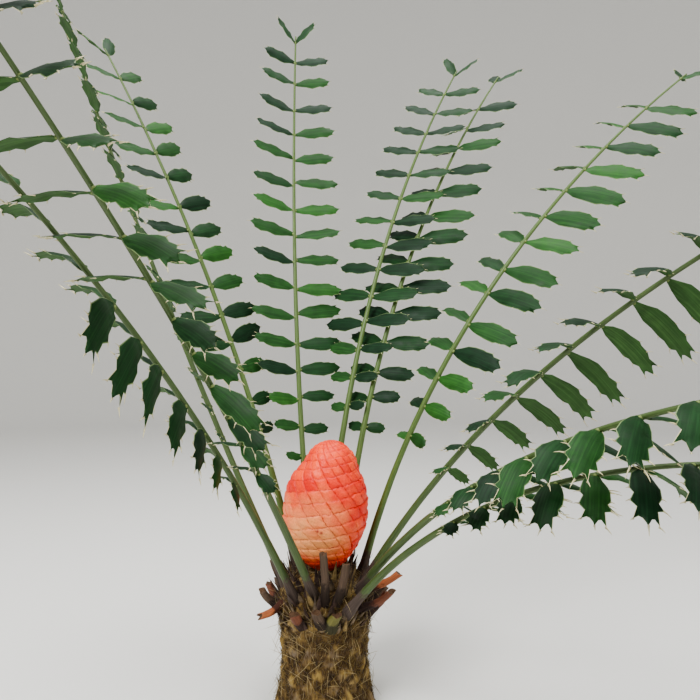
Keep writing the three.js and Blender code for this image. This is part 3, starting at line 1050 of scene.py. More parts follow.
    def margins(self, scale: np.ndarray, half: np.ndarray) -> tuple[np.ndarray, np.ndarray]:
        """How far the blades' margins reach outwards and forwards at each ring.

        The half width follows the outline formula, plus the cusps, less the scallops between them.
        Past the last cusp, the corner of the apex, the rings arch in to the tip.

        Args:
            scale: Size of each leaflet.
            half: Half width of each leaflet, with two more axes.

        Returns:
            Metres outwards and shares of the run forwards, each leaflets by 2 edges by rings.
        """
        leaf, plan, rng = self.leaf, self.plan, self.rng
        run, corner = np.array(leaf.rings), leaf.cusps[-1]
        shape = (len(scale), 2, len(run))
        cusped = np.zeros(len(run))
        cusped[list(leaf.cusps)] = [plan.sized(ends) for ends in leaf.cusp_heights]
        hollow = np.where((cusped == 0) & (run > leaf.scallops_from), plan.sized(leaf.scallop), 0)
        vary = rng.uniform(*leaf.cusp_vary, shape)
        outline = np.maximum(half * leaf.half_width(run), 0.5 * leaf.stalk_width * scale[:, None, None])
        breadth = outline + (cusped * vary - hollow) * np.sqrt(scale)[:, None, None]
        forward = leaf.cusp_forward * (cusped > 0) * vary + rng.normal(0, leaf.ragged, shape)
        forward = forward * (run > leaf.ragged_from)
        forward[..., corner] += plan.sized(leaf.corner_lead)
        arch = [plan.sized(ends) for ends in leaf.arch_widths]
        breadth[..., corner + 1:] = breadth[..., corner, None] * arch
        forward[..., corner + 1:] = [plan.sized(ends) for ends in leaf.arch_leads]
        return np.maximum(breadth, leaf.least_breadth), forward

    def blades(self, stand: Stand, scale: np.ndarray) -> tuple[Skin, np.ndarray, np.ndarray]:
        """The leaflets' blades.

        A blade is a grid along its run and round its section. Its margins wave and droop, it curls
        with the square of the run, and its tip hangs with the square of the run too.

        Args:
            stand: How the leaflets stand.
            scale: Size of each one.

        Returns:
            Their skin, and their rings and tips for the spines.
        """
        leaf, plan, rng = self.leaf, self.plan, self.rng
        count, run = len(scale), np.array(leaf.rings)
        length = (leaf.length * scale)[:, None, None]
        half = 0.5 * leaf.width * plan.broad * np.sqrt(scale)[:, None, None]
        breadth, forward = self.margins(scale, half)
        # Section: right edge to left over the top, then back along the underside
        rim, middle = leaf.margin, leaf.middle
        places = np.array([1, rim, middle, 0, -middle, -rim, -1, -rim, -middle, 0, middle, rim])
        edge = np.abs(places) ** 3
        wide, ahead = (np.where(places >= 0, v[:, 0, :, None], v[:, 1, :, None])
                       for v in (breadth, forward))
        u = places * wide
        s = run[:, None] + ahead * edge
        phase = rng.uniform(0, 2 * np.pi, (count, 1, 1)) + leaf.wave_shift * (places < 0)
        droop = leaf.droop * places ** 2 * wide
        wave = leaf.wave * half * edge * np.sin(2 * np.pi * leaf.waves * s + phase)
        bend = plan.sized(leaf.curl) * rng.uniform(*leaf.curl_vary, (count, 1, 1)) * length
        curl = bend * (0.5 * s + 0.5 * run[:, None]) ** 2
        body = np.zeros((len(run), len(places)))
        body[:, 7:] = leaf.thickness * np.maximum(1 - run ** 2, 0.45)[:, None] * leaf.section
        body[:, 2:5] -= leaf.keel * leaf.thickness
        sag = 0.5 * plan.sag * length
        rings = stand.place(length * s, u, droop + wave + curl + body) - UP * (sag * s ** 2)[..., None]
        tip = stand.foot + stand.out * length[:, 0] + stand.under * bend[:, 0] - UP * sag[:, 0]
        skin = loft(rings, stand.foot, tip)
        # The underside's faces start a corner later, so that they are split along the same diagonals
        # as those of the top, and neither side comes through the other where the blade is bent
        faces = skin.quads.reshape(count, len(run) - 1, len(places), 4)
        faces[:, :, 6:] = np.roll(faces[:, :, 6:], -1, axis=-1)
        skin.quads = faces.reshape(-1, 4)
        # Each leaflet has its own stretch of the pattern, 3 m from the last one's
        skin.uv = loft_values(stacked(length * s + 3.0 * np.arange(count)[:, None, None], u), 3)
        self.dress(skin, rng.choice(len(LEAF_TINTS), count, p=plan.tints))
        return skin, rings, tip

    def dress(self, blades: Skin, tint: np.ndarray) -> None:
        """Gives the blades' faces their numbers in LEAF_FINISHES.

        Round a section these are the margin, four faces of the tinted top, the other margin and six
        faces of the underside. Margins are shaded flat.

        Args:
            blades: The blades' skin, which is changed in place.
            tint: The tint of each blade.
        """
        under, rim, horn = (len(LEAF_TINTS) + k for k in range(3))
        around = np.array([rim, -1, -1, -1, -1, rim] + [under] * 6)
        section = np.where(around >= 0, around, tint[:, None, None])
        quads = np.repeat(section, len(self.leaf.rings) - 1, axis=1)
        if self.plan.spiny > self.spiny_rim:
            apex = quads[:, self.leaf.cusps[-1] - 1:]
            apex[apex == rim] = horn
        blades.finish = np.concatenate([quads.ravel(), np.repeat(section, 2, axis=1).ravel()])
        blades.sharp = np.isin(blades.finish, (rim, horn))

    def spines(self, stand: Stand, scale: np.ndarray, rings: np.ndarray, tip: np.ndarray) -> Skin:
        """Three-sided horn spines on the cusps and the tip, and two small ones beside the stalk.

        A spine leaves its cusp outwards and bends towards the leaflet's tip.

        Args:
            stand: How the leaflets stand.
            scale: Size of each one.
            rings: The blades' rings.
            tip: The blades' tips.

        Returns:
            The skin of all the frond's spines.
        """
        leaf, rng, plan = self.leaf, self.rng, self.plan
        spots = [(*spot, side) for side in (1, -1)
                 for spot in zip(leaf.cusps, leaf.spine_shares, leaf.spine_leans)]
        spots += leaf.stalk_spines
        feet = np.stack([rings[:, spot[0], 0 if spot[3] > 0 else 6] for spot in spots] + [tip], axis=1)
        rows = np.array([spot[1:] for spot in spots] + [(leaf.tip_spine, 1.0, 0.0)])
        share, lean, side = rows.T[..., None]
        shape = (len(scale), len(rows), 1)
        out, across, under = (v[:, None] for v in stand[1:])
        way = unit(across * side + out * lean + under * rng.uniform(-0.15, 0.4, shape))
        bend = out * rng.uniform(0.25, 0.7, shape) * np.abs(side) - UP * leaf.spine_sag
        long = plan.sized(leaf.spine_length) * np.sqrt(scale)[:, None, None]
        long = long * share * rng.uniform(0.6, 1.15, shape)
        thick = plan.sized(leaf.spine_radius) * np.minimum(1, share)
        horns, end = spikes(feet, way, bend, long, thick, under, leaf.spine_stations)
        start = feet + long * way * leaf.spine_stations[0][0]
        return loft(horns.reshape(-1, *horns.shape[2:]), start.reshape(-1, 3), end.reshape(-1, 3))

    def knobs(self, stand: Stand, scale: np.ndarray, distance: np.ndarray) -> Skin:
        """A callus where each leaflet leaves the rib: a low swelling of three six-sided rings.

        Args:
            stand: How the leaflets stand.
            scale: Size of each one.
            distance: Metres from the frond's foot to each one.

        Returns:
            The skin of all the frond's calluses.
        """
        share, wide = np.array(self.leaf.callus_rings).T[..., None]
        reach = self.stem_radius(distance)[:, None, None]
        size = (self.leaf.callus * np.sqrt(scale))[:, None, None]
        angle = np.arange(6) * np.pi / 3
        rings = stand.place(reach * share + size * 0.2, size * wide * 1.2 * np.cos(angle),
                            -size * wide * np.sin(angle))
        return loft(rings, stand.foot, stand.foot + stand.out * (reach * 1.5 + size * 0.3)[:, 0])

    def build(self) -> None:
        """Makes the frond's four pieces."""
        seats = self.seats()
        stand, scale = self.stand(seats), seats["scale"]
        blades, rings, tip = self.blades(stand, scale)
        spines = self.spines(stand, scale, rings, tip)
        knobs = self.knobs(stand, scale, seats["distance"])
        rind = RIB_PALE if self.plan.spiny < self.olive_rib else RIB_OLIVE
        for part, skin, finishes in (("rib", self.rib(), (rind,)), ("leaflets", blades, LEAF_FINISHES),
                                     ("spines", spines, (HORN,)), ("calluses", knobs, (CALLUS,))):
            add_piece(f"{self.plan.name}_{part}", skin, finishes, [self.plan.name])


# The cone


@dataclass
class SeedCone:
    """The seed cone: an ovoid of fleshy scales in crossing spirals.

    Attributes:
        scales_around: Steep spirals round the cone.
        rows_per_turn: How many rows a flat spiral climbs in one turn.
        slant: How far a steep spiral shifts in one row, as a share of a scale's width.
        least_row: Height of a row at the tip against the belly's.
        crowding: How much closer columns lie beside the grooves.
        wander: How far the steep and the flat grooves stray, finely and coarsely, in scales.
        forms: Shares of the relief of the wall beside the groove, the pillow, the beak, the upper
            lip, the scale's own tilt and its own lift.
        pits: Depth of the skin's fine and coarse roughness.
    """

    radius: float = 106 * MM
    height: float = 338 * MM
    foot: float = 329 * MM
    belly_at: float = 0.42
    lean: float = 16 * MM
    lean_power: float = 3
    foot_power: float = 1.35
    top_power: float = 2.15
    fullness: float = 0.54
    scales_around: int = 18
    rows_per_turn: int = 3
    slant: float = 0.6
    scale_height: float = 31 * MM
    least_row: float = 0.25
    crowding: float = 0.2
    wander: tuple[tuple[float, float], ...] = ((0.05, 0.06), (0.06, -0.05))
    relief: float = 6 * MM
    forms: tuple[float, ...] = (0.34, 0.16, 0.10, 0.62, 0.42, 0.34)
    pits: tuple[float, float] = (0.5 * MM, 0.7 * MM)
    wall_width: float = 1.1 * MM
    groove_width: float = 0.7 * MM
    columns_per_scale: int = 20
    rows: int = 268
    # The flatter shoulders beside the tip: depth, azimuth and share of the height
    shoulders: tuple[tuple[float, float, float], ...] = ((7 * MM, 90, 0.77), (12 * MM, -80, 0.84))
    shoulder_height: float = 0.08
    # Old scars as azimuth and share of the height
    scars: tuple[tuple[float, float], ...] = ((183, 0.375), (188, 0.385), (120, 0.6))
    scar_width: float = 3.2 * MM
    # The side on which a pool of sunlight is painted, as an azimuth
    painted_sun_azimuth: float = -152

    def outline(self, share: np.ndarray) -> np.ndarray:
        """Radius at a share of the height: (1 - across^power)^fullness on each side of the belly.

        Args:
            share: Shares of the height.

        Returns:
            The radius at each.
        """
        below = share < self.belly_at
        across = np.where(below, (self.belly_at - share) / self.belly_at,
                          (share - self.belly_at) / (1 - self.belly_at))
        power = np.where(below, self.foot_power, self.top_power)
        return self.radius * np.maximum(0, 1 - across ** power) ** self.fullness

    def levels(self) -> tuple[np.ndarray, np.ndarray, np.ndarray, np.ndarray]:
        """The rows of points, at even steps along the outline.

        Returns:
            Each row's length along the outline, height, radius and running number of scales.
        """
        fine = 0.5 - 0.5 * np.cos(np.pi * np.linspace(0, 1, 4000))
        radius, height = self.outline(fine), self.height * fine
        arc = arc_length(radius, height)
        shrink = (radius[1:] + radius[:-1]) / 2 / self.radius
        steps = np.diff(arc) / (self.scale_height * between((self.least_row, 1), shrink))
        count = np.concatenate([[0], np.cumsum(steps)])
        even = np.linspace(0.002, 0.998, self.rows) * arc[-1]
        return (even, *(np.interp(even, arc, values) for values in (height, radius, count)))

    def skin(self) -> Skin:
        """The scales as one surface round the cone.

        Scale numbers come from two spirals: the flat one counts rows, whose height shrinks with the
        radius, plus rows_per_turn per turn, and the steep one counts columns less slant per row.
        Within a scale the surface rises steeply from the groove to a pillow with a blunt beak, and
        each scale is tilted a little by its own amount.

        Returns:
            The skin, with the marks for the painted sunlight, the tone and the groove.
        """
        rng = np.random.default_rng(SEED)
        columns = self.scales_around * self.columns_per_scale
        even, height, radius, number = self.levels()

        # Columns lie along the steep spirals, closer together beside the grooves
        local = (np.arange(self.columns_per_scale) + 0.5) / self.columns_per_scale
        local = local - self.crowding / np.pi * np.sin(2 * np.pi * local)
        line = (np.arange(self.scales_around)[:, None] + local).reshape(1, columns)
        turn = (line + self.slant * number[:, None]) / self.scales_around
        azimuth = 2 * np.pi * turn
        frill = [soft_noise(self.rows, columns, cells, rng) for cells in ((84, 120), (84, 120), (20, 30))]
        (fine, coarse), (fine_flat, coarse_flat) = self.wander
        steep = line + fine * frill[0] + coarse * frill[2]
        flat = number[:, None] + self.rows_per_turn * turn + fine_flat * frill[1] + coarse_flat * frill[2]
        a, b = 2 * (flat - np.floor(flat)) - 1, 2 * (steep - np.floor(steep)) - 1
        # One lap round the cone brings a scale back with a higher flat number, so its random values
        # are read by where it is seen, not by its running number
        cells = np.floor(flat) - self.rows_per_turn * np.floor(turn), np.floor(steep)
        # The last value varies the painted sunlight from scale to scale
        nod, sway, lift, tint, worn, painted_sun_jitter = (
            cell_value(*cells, salt) - 0.5 for salt in (1.0, 2.0, 3.0, 4.0, 6.0, 7.0))

        girth = radius[:, None] / self.radius
        tall = self.scale_height * between((self.least_row, 1), girth)
        wide = 2 * np.pi * radius[:, None] / self.scales_around
        gap = np.maximum(np.minimum((1 - np.abs(a)) * tall / 2, (1 - np.abs(b)) * wide / 2), 0)
        wall = 1 - np.exp(-gap / self.wall_width)
        pillow = (1 - a ** 2) * (1 - b ** 2)
        beak = np.exp(-((a + 0.15) ** 2 * 9 + b ** 2 * 5))
        lip = 0.5 * (1 + a) * wall
        shapes = (wall, pillow, beak, lip, nod * a + sway * b, lift * wall)
        size = np.clip(girth, 0.15, 1)
        rough = [soft_noise(self.rows, columns, cells, rng) for cells in ((120, 180), (60, 90))]
        push = size * self.relief * sum(share * shape for share, shape in zip(self.forms, shapes))
        push = push + (rough[0] * self.pits[0] + rough[1] * self.pits[1]) * wall * size
        r, z = pushed(radius, height, even, push)
        r = np.maximum(r, 0.4 * MM)
        level = (height / self.height)[:, None]
        for depth, side, middle in self.shoulders:
            facing = np.clip(0.3 + 0.7 * np.cos(azimuth - np.radians(side)), 0, 1)
            r = r - depth * np.exp(-((level - middle) / self.shoulder_height) ** 2) * facing
        lean = self.lean * np.clip(z / self.height, 0, 1) ** self.lean_power
        points = stacked(r * np.sin(azimuth) + lean, r * np.cos(azimuth), z + self.foot)
        tip = [[self.lean, 0.0, points[-1, :, 2].max() + 0.3 * MM]]
        skin = loft(points[None], np.array([[0.0, 0.0, self.foot]]), np.array(tip))

        # A pool of sunlight painted on one side fades in above the foot and out towards the tip, which is
        # riper
        facing = np.clip(np.cos(azimuth - np.radians(self.painted_sun_azimuth)), 0, 1)
        painted_sun = facing * np.clip(1.6 - 2.1 * level, 0, 1) * smooth_step(level, 0.04, 0.26) + 0.12 * painted_sun_jitter
        tone = 0.5 + 0.5 * tint + 0.22 * (pillow - 0.4) + 0.25 * smooth_step(level, 0.68, 0.9)
        groove = np.exp(-gap / self.groove_width) * (0.625 + 0.65 * worn)
        for side, middle in self.scars:
            round_it = np.angle(np.exp(1j * (azimuth - np.radians(side)))) * radius[:, None]
            far = np.hypot(round_it, (level - middle) * self.height)
            groove = np.maximum(groove, 1.1 * np.exp(-(far / self.scar_width) ** 2))
        marks = {"painted_sun": painted_sun, "tone": tone, "groove": np.minimum(groove, 1)}
        skin.marks = {name: loft_values(values[None]) for name, values in marks.items()}
        return skin

    def build(self) -> None:
        """Makes the cone's piece."""
        add_piece("cone_scales", self.skin(), (ConeRind(),), ["cone"])


# The trunk


@dataclass
class Trunk:
    """The low trunk: old leaf bases in a staggered pattern, matted with fibre.

    Attributes:
        bases_around: Leaf bases in one row.
        base_height: Height of a leaf base.
        base_relief: How far a leaf base stands out at its upper edge.
        mats: Height of the lumps, the tufts and the fine tufts.
        samples: Points on the outline that fibres and bracts are set on.
        fibre_stations: Share of the length and thickness of each ring of a fibre.
        fibre_shades: Chances of each finish of FIBRES; straws are pale.
        bract_range: Height of the lowest bract, and radius of the innermost one.
        bract_turn: Degrees from each bract to the next, the golden angle.
        bract_shades: Chances of each finish of BRACTS.
        taken: Where petioles and stubs leave the trunk, n by 3; no bract grows there.
    """

    foot_radius: float = 132 * MM
    waist_radius: float = 107 * MM
    shoulder_radius: float = 121 * MM
    heart_radius: float = 46 * MM
    flare_height: float = 60 * MM
    waist_height: float = 130 * MM
    shoulder_height: float = 262 * MM
    height: float = 330 * MM
    bases_around: int = 12
    base_height: float = 36 * MM
    base_relief: float = 8 * MM
    mats: tuple[float, float, float] = (3.0 * MM, 2.4 * MM, 1.3 * MM)
    columns: int = 390
    rows: int = 236
    samples: int = 600
    fibres: int = 8200
    straws: int = 420
    fibre_length: tuple[float, float] = (9 * MM, 32 * MM)
    straw_length: tuple[float, float] = (35 * MM, 75 * MM)
    fibre_width: float = 1.0 * MM
    straw_width: float = 1.5 * MM
    fibre_stations: tuple[tuple[float, float], ...] = ((0.0, 0.55), (0.35, 0.45), (0.7, 0.32))
    fibre_shades: tuple[float, ...] = (0.34, 0.36, 0.08, 0.22)
    bracts: int = 230
    bract_gap: float = 15 * MM
    bract_range: tuple[float, float] = (215 * MM, 62 * MM)
    bract_sunk: float = 12 * MM
    bract_turn: float = 137.508
    bract_length: tuple[float, float] = (40 * MM, 84 * MM)
    bract_width: tuple[float, float] = (6 * MM, 11 * MM)
    bract_shades: tuple[float, ...] = (0.5, 0.3, 0.2)
    taken: np.ndarray = field(default_factory=lambda: np.zeros((0, 3)))

    def radius(self, z: np.ndarray | float) -> np.ndarray:
        """The outline: an exponential flare, a smooth waist and shoulder, then an elliptic dome.

        Args:
            z: Heights above the ground.

        Returns:
            The radius at each.
        """
        flare = np.exp(-z / self.flare_height) - math.exp(-self.waist_height / self.flare_height)
        low = between((self.waist_radius, self.foot_radius), flare)
        middle = between((self.waist_radius, self.shoulder_radius),
                         smooth_step(z, self.waist_height, self.shoulder_height))
        dome = np.clip((z - self.shoulder_height) / (self.height - self.shoulder_height), 0, 1)
        high = between((self.heart_radius, self.shoulder_radius), np.sqrt(1 - dome ** 2))
        return np.where(z < self.waist_height, low, np.where(z < self.shoulder_height, middle, high))

    def profile(self, samples: int) -> tuple[np.ndarray, np.ndarray, np.ndarray]:
        """The outline from the ground over the dome to near the heart's middle, in even steps.

        Args:
            samples: Number of points.

        Returns:
            Radius, height and length along the outline at each point.
        """
        # The angle of the dome runs evenly, so that its steep start and flat top are both smooth
        dome = np.sin(np.linspace(0, np.pi / 2, 800)[1:])
        z = np.concatenate([np.linspace(0, self.shoulder_height, 1500),
                            between((self.shoulder_height, self.height), dome)])
        r = np.append(self.radius(z), 0.0)
        z = np.append(z, self.height)
        arc = arc_length(r, z)
        even = np.linspace(0, arc[-1] * 0.985, samples)
        return np.interp(even, arc, r), np.interp(even, arc, z), even

    def bark(self) -> Skin:
        """The trunk's surface.

        Two diagonal spirals, bent by soft noise, cut it into leaf bases that are worn unevenly. A
        base rises from its lower corner to its upper edge, and lumps and tufts of noise mat it over.

        Returns:
            The skin, with the mark called height.
        """
        rng = np.random.default_rng(SEED + 1)
        radius, height, arc = self.profile(self.rows)
        turn = np.arange(self.columns)[None, :] / self.columns
        number = (arc / self.base_height)[:, None]
        # Two layers bend the spirals, two ruffle them, and the rest are lumps, tufts and fine tufts
        noise = [soft_noise(self.rows, self.columns, cells, rng) for cells in (
            (7, 6), (7, 6), (22, 24), (22, 24), (16, 26), (40, 110), (100, 195))]
        climb, cross = (0.5 * number + way * self.bases_around * turn + 0.42 * bent + 0.16 * ruffled
                        for way, bent, ruffled in ((1, noise[0], noise[2]), (-1, noise[1], noise[3])))
        a, b = 2 * (climb - np.floor(climb)) - 1, 2 * (cross - np.floor(cross)) - 1
        body = 1 - smooth_step(np.maximum(np.abs(a), np.abs(b)), 0.35, 1.0)
        column = np.mod(np.round(np.floor(climb) - np.floor(cross)), 2 * self.bases_around)
        worn = 0.15 + 1.25 * cell_value(column, np.floor(climb) + np.floor(cross), 5.0)
        base = body * (0.3 + 0.7 * smooth_step(0.5 * (a + b), -0.9, 0.75)) * worn
        mat = sum(depth * layer for depth, layer in zip(self.mats, noise[4:]))
        fade = smooth_step(radius, 0.02, 0.07)[:, None]
        r, z = pushed(radius, height, arc, fade * (self.base_relief * (base - 0.4) + mat))
        r, z = np.maximum(r, 0.5 * MM), np.maximum(z, 0)
        z[0] = 0
        azimuth = 2 * np.pi * turn
        points = stacked(r * np.sin(azimuth), r * np.cos(azimuth), z)
        skin = loft(points[None], np.zeros((1, 3)), np.array([[0, 0, self.height]]))
        skin.uv = loft_values(stacked(arc[:, None], azimuth * self.waist_radius)[None])
        mark = np.clip(0.36 + 0.5 * base + 0.16 * noise[5] + 0.16 * noise[4], 0, 1)
        skin.marks = {"height": loft_values(mark[None])}
        return skin

    def hairs(self) -> Skin:
        """Loose fibres: three-sided hairs, most of them matted close to the bark, and long straws.

        Returns:
            The skin of them all.
        """
        rng = np.random.default_rng(SEED + 2)
        count = self.fibres + self.straws
        one = (count, 1)
        straw = (np.arange(count) >= self.fibres)[:, None]
        radius, height, arc = self.profile(self.samples)
        pick = (rng.uniform(0.03, 0.94, count) * (self.samples - 1)).astype(int)
        azimuth = rng.uniform(0, 360, count)
        out, side = direction(azimuth), direction(azimuth + 90)
        normal = unit(out * np.gradient(height, arc)[pick, None] - UP * np.gradient(radius, arc)[pick, None])
        foot = out * radius[pick, None] + UP * height[pick, None] - normal * 1.5 * MM
        long = np.where(straw, rng.uniform(*self.straw_length, one), rng.uniform(*self.fibre_length, one))
        turn = rng.normal(0, 0.75, one) + np.where(rng.random(one) < 0.3, np.pi, 0)
        way = unit(np.cross(side, normal) * np.cos(turn) + side * np.sin(turn)
                   + normal * rng.uniform(0.15, 0.75, one))
        bend = side * rng.normal(0, 0.35, one) - normal * rng.uniform(0, 0.35, one)
        bend = bend - UP * rng.uniform(0, 0.3, one)
        thick = np.where(straw, self.straw_width, self.fibre_width)
        rings, end = spikes(foot, way, bend, long, thick, normal + 0.01, self.fibre_stations)
        rings[..., 2] = np.maximum(rings[..., 2], 0.5 * MM)
        end[:, 2] = np.maximum(end[:, 2], 0.2 * MM)
        skin = loft(rings, foot, end)
        shade = np.where(straw[:, 0], 2, rng.choice(len(FIBRES), count, p=self.fibre_shades))
        skin.finish = np.concatenate([np.repeat(shade, 2 * 3), np.repeat(shade, 2 * 3)])
        return skin

    def crown_bracts(self) -> Skin:
        """Dry scale leaves that crowd the crown between the petioles, in a golden-angle spiral.

        Each is a lance with a keel: its half width is sin(pi s^0.5)^0.8 of the full one, its
        section a shallow V, and it leans out further from the middle.

        Returns:
            The skin of them all, with the mark called age.
        """
        rng = np.random.default_rng(SEED + 3)
        radius, height, _ = self.profile(self.samples)
        first = np.searchsorted(height, self.bract_range[0])
        last = np.searchsorted(-radius, -self.bract_range[1])
        k = np.arange(self.bracts)
        share = (k + rng.uniform(-1, 1, self.bracts)).clip(0) / self.bracts
        pick = (last + (first - last) * share ** 0.9).astype(int)
        azimuth = k * self.bract_turn + rng.normal(0, 4, self.bracts)
        foot = direction(azimuth) * radius[pick, None] + UP * height[pick, None]
        clear = np.linalg.norm(foot[:, None] - self.taken, axis=-1).min(axis=1) > self.bract_gap
        azimuth, foot, share = azimuth[clear], foot[clear], share[clear]
        count = len(foot)
        rise = 80 - 30 * share + rng.normal(0, 5, count)
        along = direction(azimuth + rng.normal(0, 9, count), rise)
        side = unit(np.cross(along, UP))
        stand = Stand(foot - along * self.bract_sunk, along, side, -np.cross(side, along))
        long = (rng.uniform(*self.bract_length, count) * (1 - 0.25 * share))[:, None, None]
        wide = rng.uniform(*self.bract_width, count)[:, None, None]
        run = np.linspace(0, 0.94, 8)[:, None]
        half = np.maximum(np.sin(np.pi * run ** 0.5) ** 0.8, 0.25) * (1 - 0.5 * run)
        u = wide * half * (1.0, 0.5, 0.0, -0.5, -1.0, 0.0)
        v = wide * half * (0.0, 0.2, 0.32, 0.2, 0.0, -0.05)
        bend = rng.uniform(-0.08, 0.2, count)[:, None, None] * long * run ** 2
        rings = stand.place(long * run, u, v + bend)
        skin = loft(rings, stand.foot, stand.foot + along * long[:, 0] + stand.under * bend[:, -1])
        skin.uv = loft_values(stacked(long * run, u), 2)
        skin.marks = {"age": loft_values(np.broadcast_to(0.1 + 0.75 * run, u.shape))}
        shade = rng.choice(len(BRACTS), count, p=self.bract_shades)
        corners = u.shape[2]
        skin.finish = np.concatenate([np.repeat(shade, (len(run) - 1) * corners),
                                      np.repeat(shade, 2 * corners)])
        return skin

    def build(self) -> None:
        """Makes the bark, the loose fibres and the bracts."""
        for name, skin, finishes in (("trunk_bark", self.bark(), (FibrousBark(),)),
                                     ("trunk_fibres", self.hairs(), FIBRES),
                                     ("crown_bracts", self.crown_bracts(), BRACTS)):
            add_piece(name, skin, finishes, ["trunk"])


# Cut petioles


class StubKind(Enum):
    """How old a cut petiole is, and so how its rind and its cut look."""

    GREY = 0
    RUSSET = 1
    ORANGE = 2
    FRESH = 3


@dataclass(frozen=True)
class StubPlan:
    """Where a cut petiole stands: azimuth, seat height, lean, length past the bark and radius."""

    azimuth: float
    seat: float
    lean: float
    length: float
    radius: float
    kind: StubKind


@dataclass
class CutPetioles:
    """The petioles of old leaves, cut off near the trunk.

    Attributes:
        trunk: The trunk that they stand on.
        front: The ones in the open front of the crown.
        rings: Rings of alike ones: count, first and last azimuth, seat, lean, length and radius.
        found: How near the middle of a stub's end has to be to a solid's box.
        cut_slope: How steep the cut is.
        tear: How far its rim is torn.
        bow: How far the middle of the stalk sags, as a share of its length.
        caps: Sizes of the last rings, which run inwards over the cut.
    """

    trunk: Trunk
    front: tuple[StubPlan, ...] = (
        StubPlan(179, 0.292, 74, 0.132, 0.011, StubKind.GREY),
        StubPlan(161, 0.290, 66, 0.116, 0.012, StubKind.GREY),
        StubPlan(112, 0.298, 28, 0.104, 0.013, StubKind.ORANGE),
        StubPlan(128, 0.262, 34, 0.108, 0.013, StubKind.RUSSET),
        StubPlan(-118, 0.262, -16, 0.062, 0.012, StubKind.ORANGE),
        StubPlan(168, 0.236, 50, 0.046, 0.016, StubKind.FRESH),
        StubPlan(-176, 0.242, 48, 0.052, 0.015, StubKind.GREY),
        StubPlan(-154, 0.236, 40, 0.058, 0.015, StubKind.RUSSET),
    )
    rings: tuple[tuple[int, float, float, float, float, float, float], ...] = (
        (11, -92, 100, 0.240, 46, 0.060, 0.015),
        (5, -74, 94, 0.288, 66, 0.070, 0.014),
    )
    found: float = 2 * MM
    taper: float = 0.86
    flatness: float = 0.8
    cut_slope: float = 0.45
    tear: float = 6 * MM
    bow: float = 0.06
    sunk: float = 20 * MM
    caps: tuple[float, ...] = (0.88, 0.55, 0.25)
    rows: int = 26
    columns: int = 28

    def plans(self) -> list[StubPlan]:
        """All the stubs for which a solid stands at the middle of their end.

        Returns:
            Their plans, the front ones first.
        """
        kinds = (StubKind.GREY, StubKind.RUSSET, StubKind.GREY)
        plans = list(self.front)
        for count, first, last, *sizes in self.rings:
            for k in range(count):
                azimuth = first + (last - first) * k / (count - 1)
                plans.append(StubPlan(azimuth, *sizes, kinds[k % len(kinds)]))
        boxes = np.array([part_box(name) for name in self.nodes()])
        return [plan for plan in plans if self.stands(plan, boxes)]

    def stands(self, plan: StubPlan, boxes: np.ndarray) -> bool:
        """Whether the middle of a stub's end lies in the box of a solid.

        Args:
            plan: The stub.
            boxes: The low and the high corner of each solid, n by 2 by 3.

        Returns:
            Whether a solid stands for it.
        """
        foot, out, _, _ = self.frame_of(plan)
        end = foot + out * plan.length * 0.96
        inside = (boxes[:, 0] - self.found < end) & (end < boxes[:, 1] + self.found)
        return bool(inside.all(axis=1).any())

    def nodes(self) -> list[str]:
        """The names of the stubs' solids."""
        return sorted(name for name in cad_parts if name.startswith("stub"))

    def frame_of(self, plan: StubPlan) -> tuple[np.ndarray, np.ndarray, np.ndarray, np.ndarray]:
        """The foot of a stub on the bark, and its directions.

        Args:
            plan: The stub.

        Returns:
            The foot, the run, the side and the upper direction.
        """
        out = direction(plan.azimuth, plan.lean)
        side = direction(plan.azimuth + 90)
        foot = direction(plan.azimuth) * float(self.trunk.radius(plan.seat)) + UP * plan.seat
        return foot, out, side, np.cross(side, out)

    def stub(self, plan: StubPlan, seed: int) -> tuple[np.ndarray, np.ndarray, np.ndarray]:
        """One stub: a fluted, flattened stalk with a hollow upper face that ends in a torn cut.

        The reach at an angle is the radius times 1 plus flutes and knots, the middle of the stalk
        sags a little, its end is torn by noise round the rim, and the last rings run inwards.

        Args:
            plan: Where it stands.
            seed: The seed of its irregularities.

        Returns:
            Its points, their places along and across it, and how corky it is there, rings by corners.
        """
        rng = np.random.default_rng(SEED * 77 + seed)
        foot, out, side, upper = self.frame_of(plan)
        count = self.rows + len(self.caps)
        run = np.append(np.linspace(0, 1, self.rows), np.ones(len(self.caps)))
        shrink = np.append(np.ones(self.rows), self.caps)[:, None]
        angle = np.linspace(0, 2 * np.pi, self.columns, endpoint=False)
        distance = between((-self.sunk, plan.length), run)
        share = np.clip(distance / plan.length, 0, 1)
        girth = plan.radius * between((1, self.taper), share) * (1 + 0.28 * np.exp(-share / 0.2)) * 0.94
        flutes, knots = (soft_noise(count, self.columns, cells, rng) for cells in ((3, 11), (9, 5)))
        hollow = 1 - 0.3 * np.exp(-((angle - np.pi / 2) / 0.6) ** 2) * share[:, None]
        reach = girth[:, None] * (1 + 0.08 * flutes + 0.07 * knots) * shrink * hollow
        u, v = reach * np.cos(angle), reach * np.sin(angle) * self.flatness
        torn = self.tear * (soft_noise(2, self.columns, (1, 9), rng)[:1] - 0.3) * shrink
        dish = (1 - shrink) * 0.3 * plan.radius
        cut = smooth_step(run, 0.75, 1.0)[:, None] * (self.cut_slope * v - torn)
        along = distance[:, None] - cut - dish
        sway = plan.radius * 0.3 * np.sin(np.pi * share + rng.uniform(0, 6))[:, None]
        bow = self.bow * plan.length * (4 * share * (share - 1))[:, None]
        rings = foot + out * along[..., None] + side * (u + sway)[..., None] + upper * (v + bow)[..., None]
        age = np.where(shrink < 1, 0.0, 1 - smooth_step(share, 0.1, 0.75)[:, None])
        return rings, stacked(distance[:, None], angle * plan.radius), np.broadcast_to(age, u.shape)

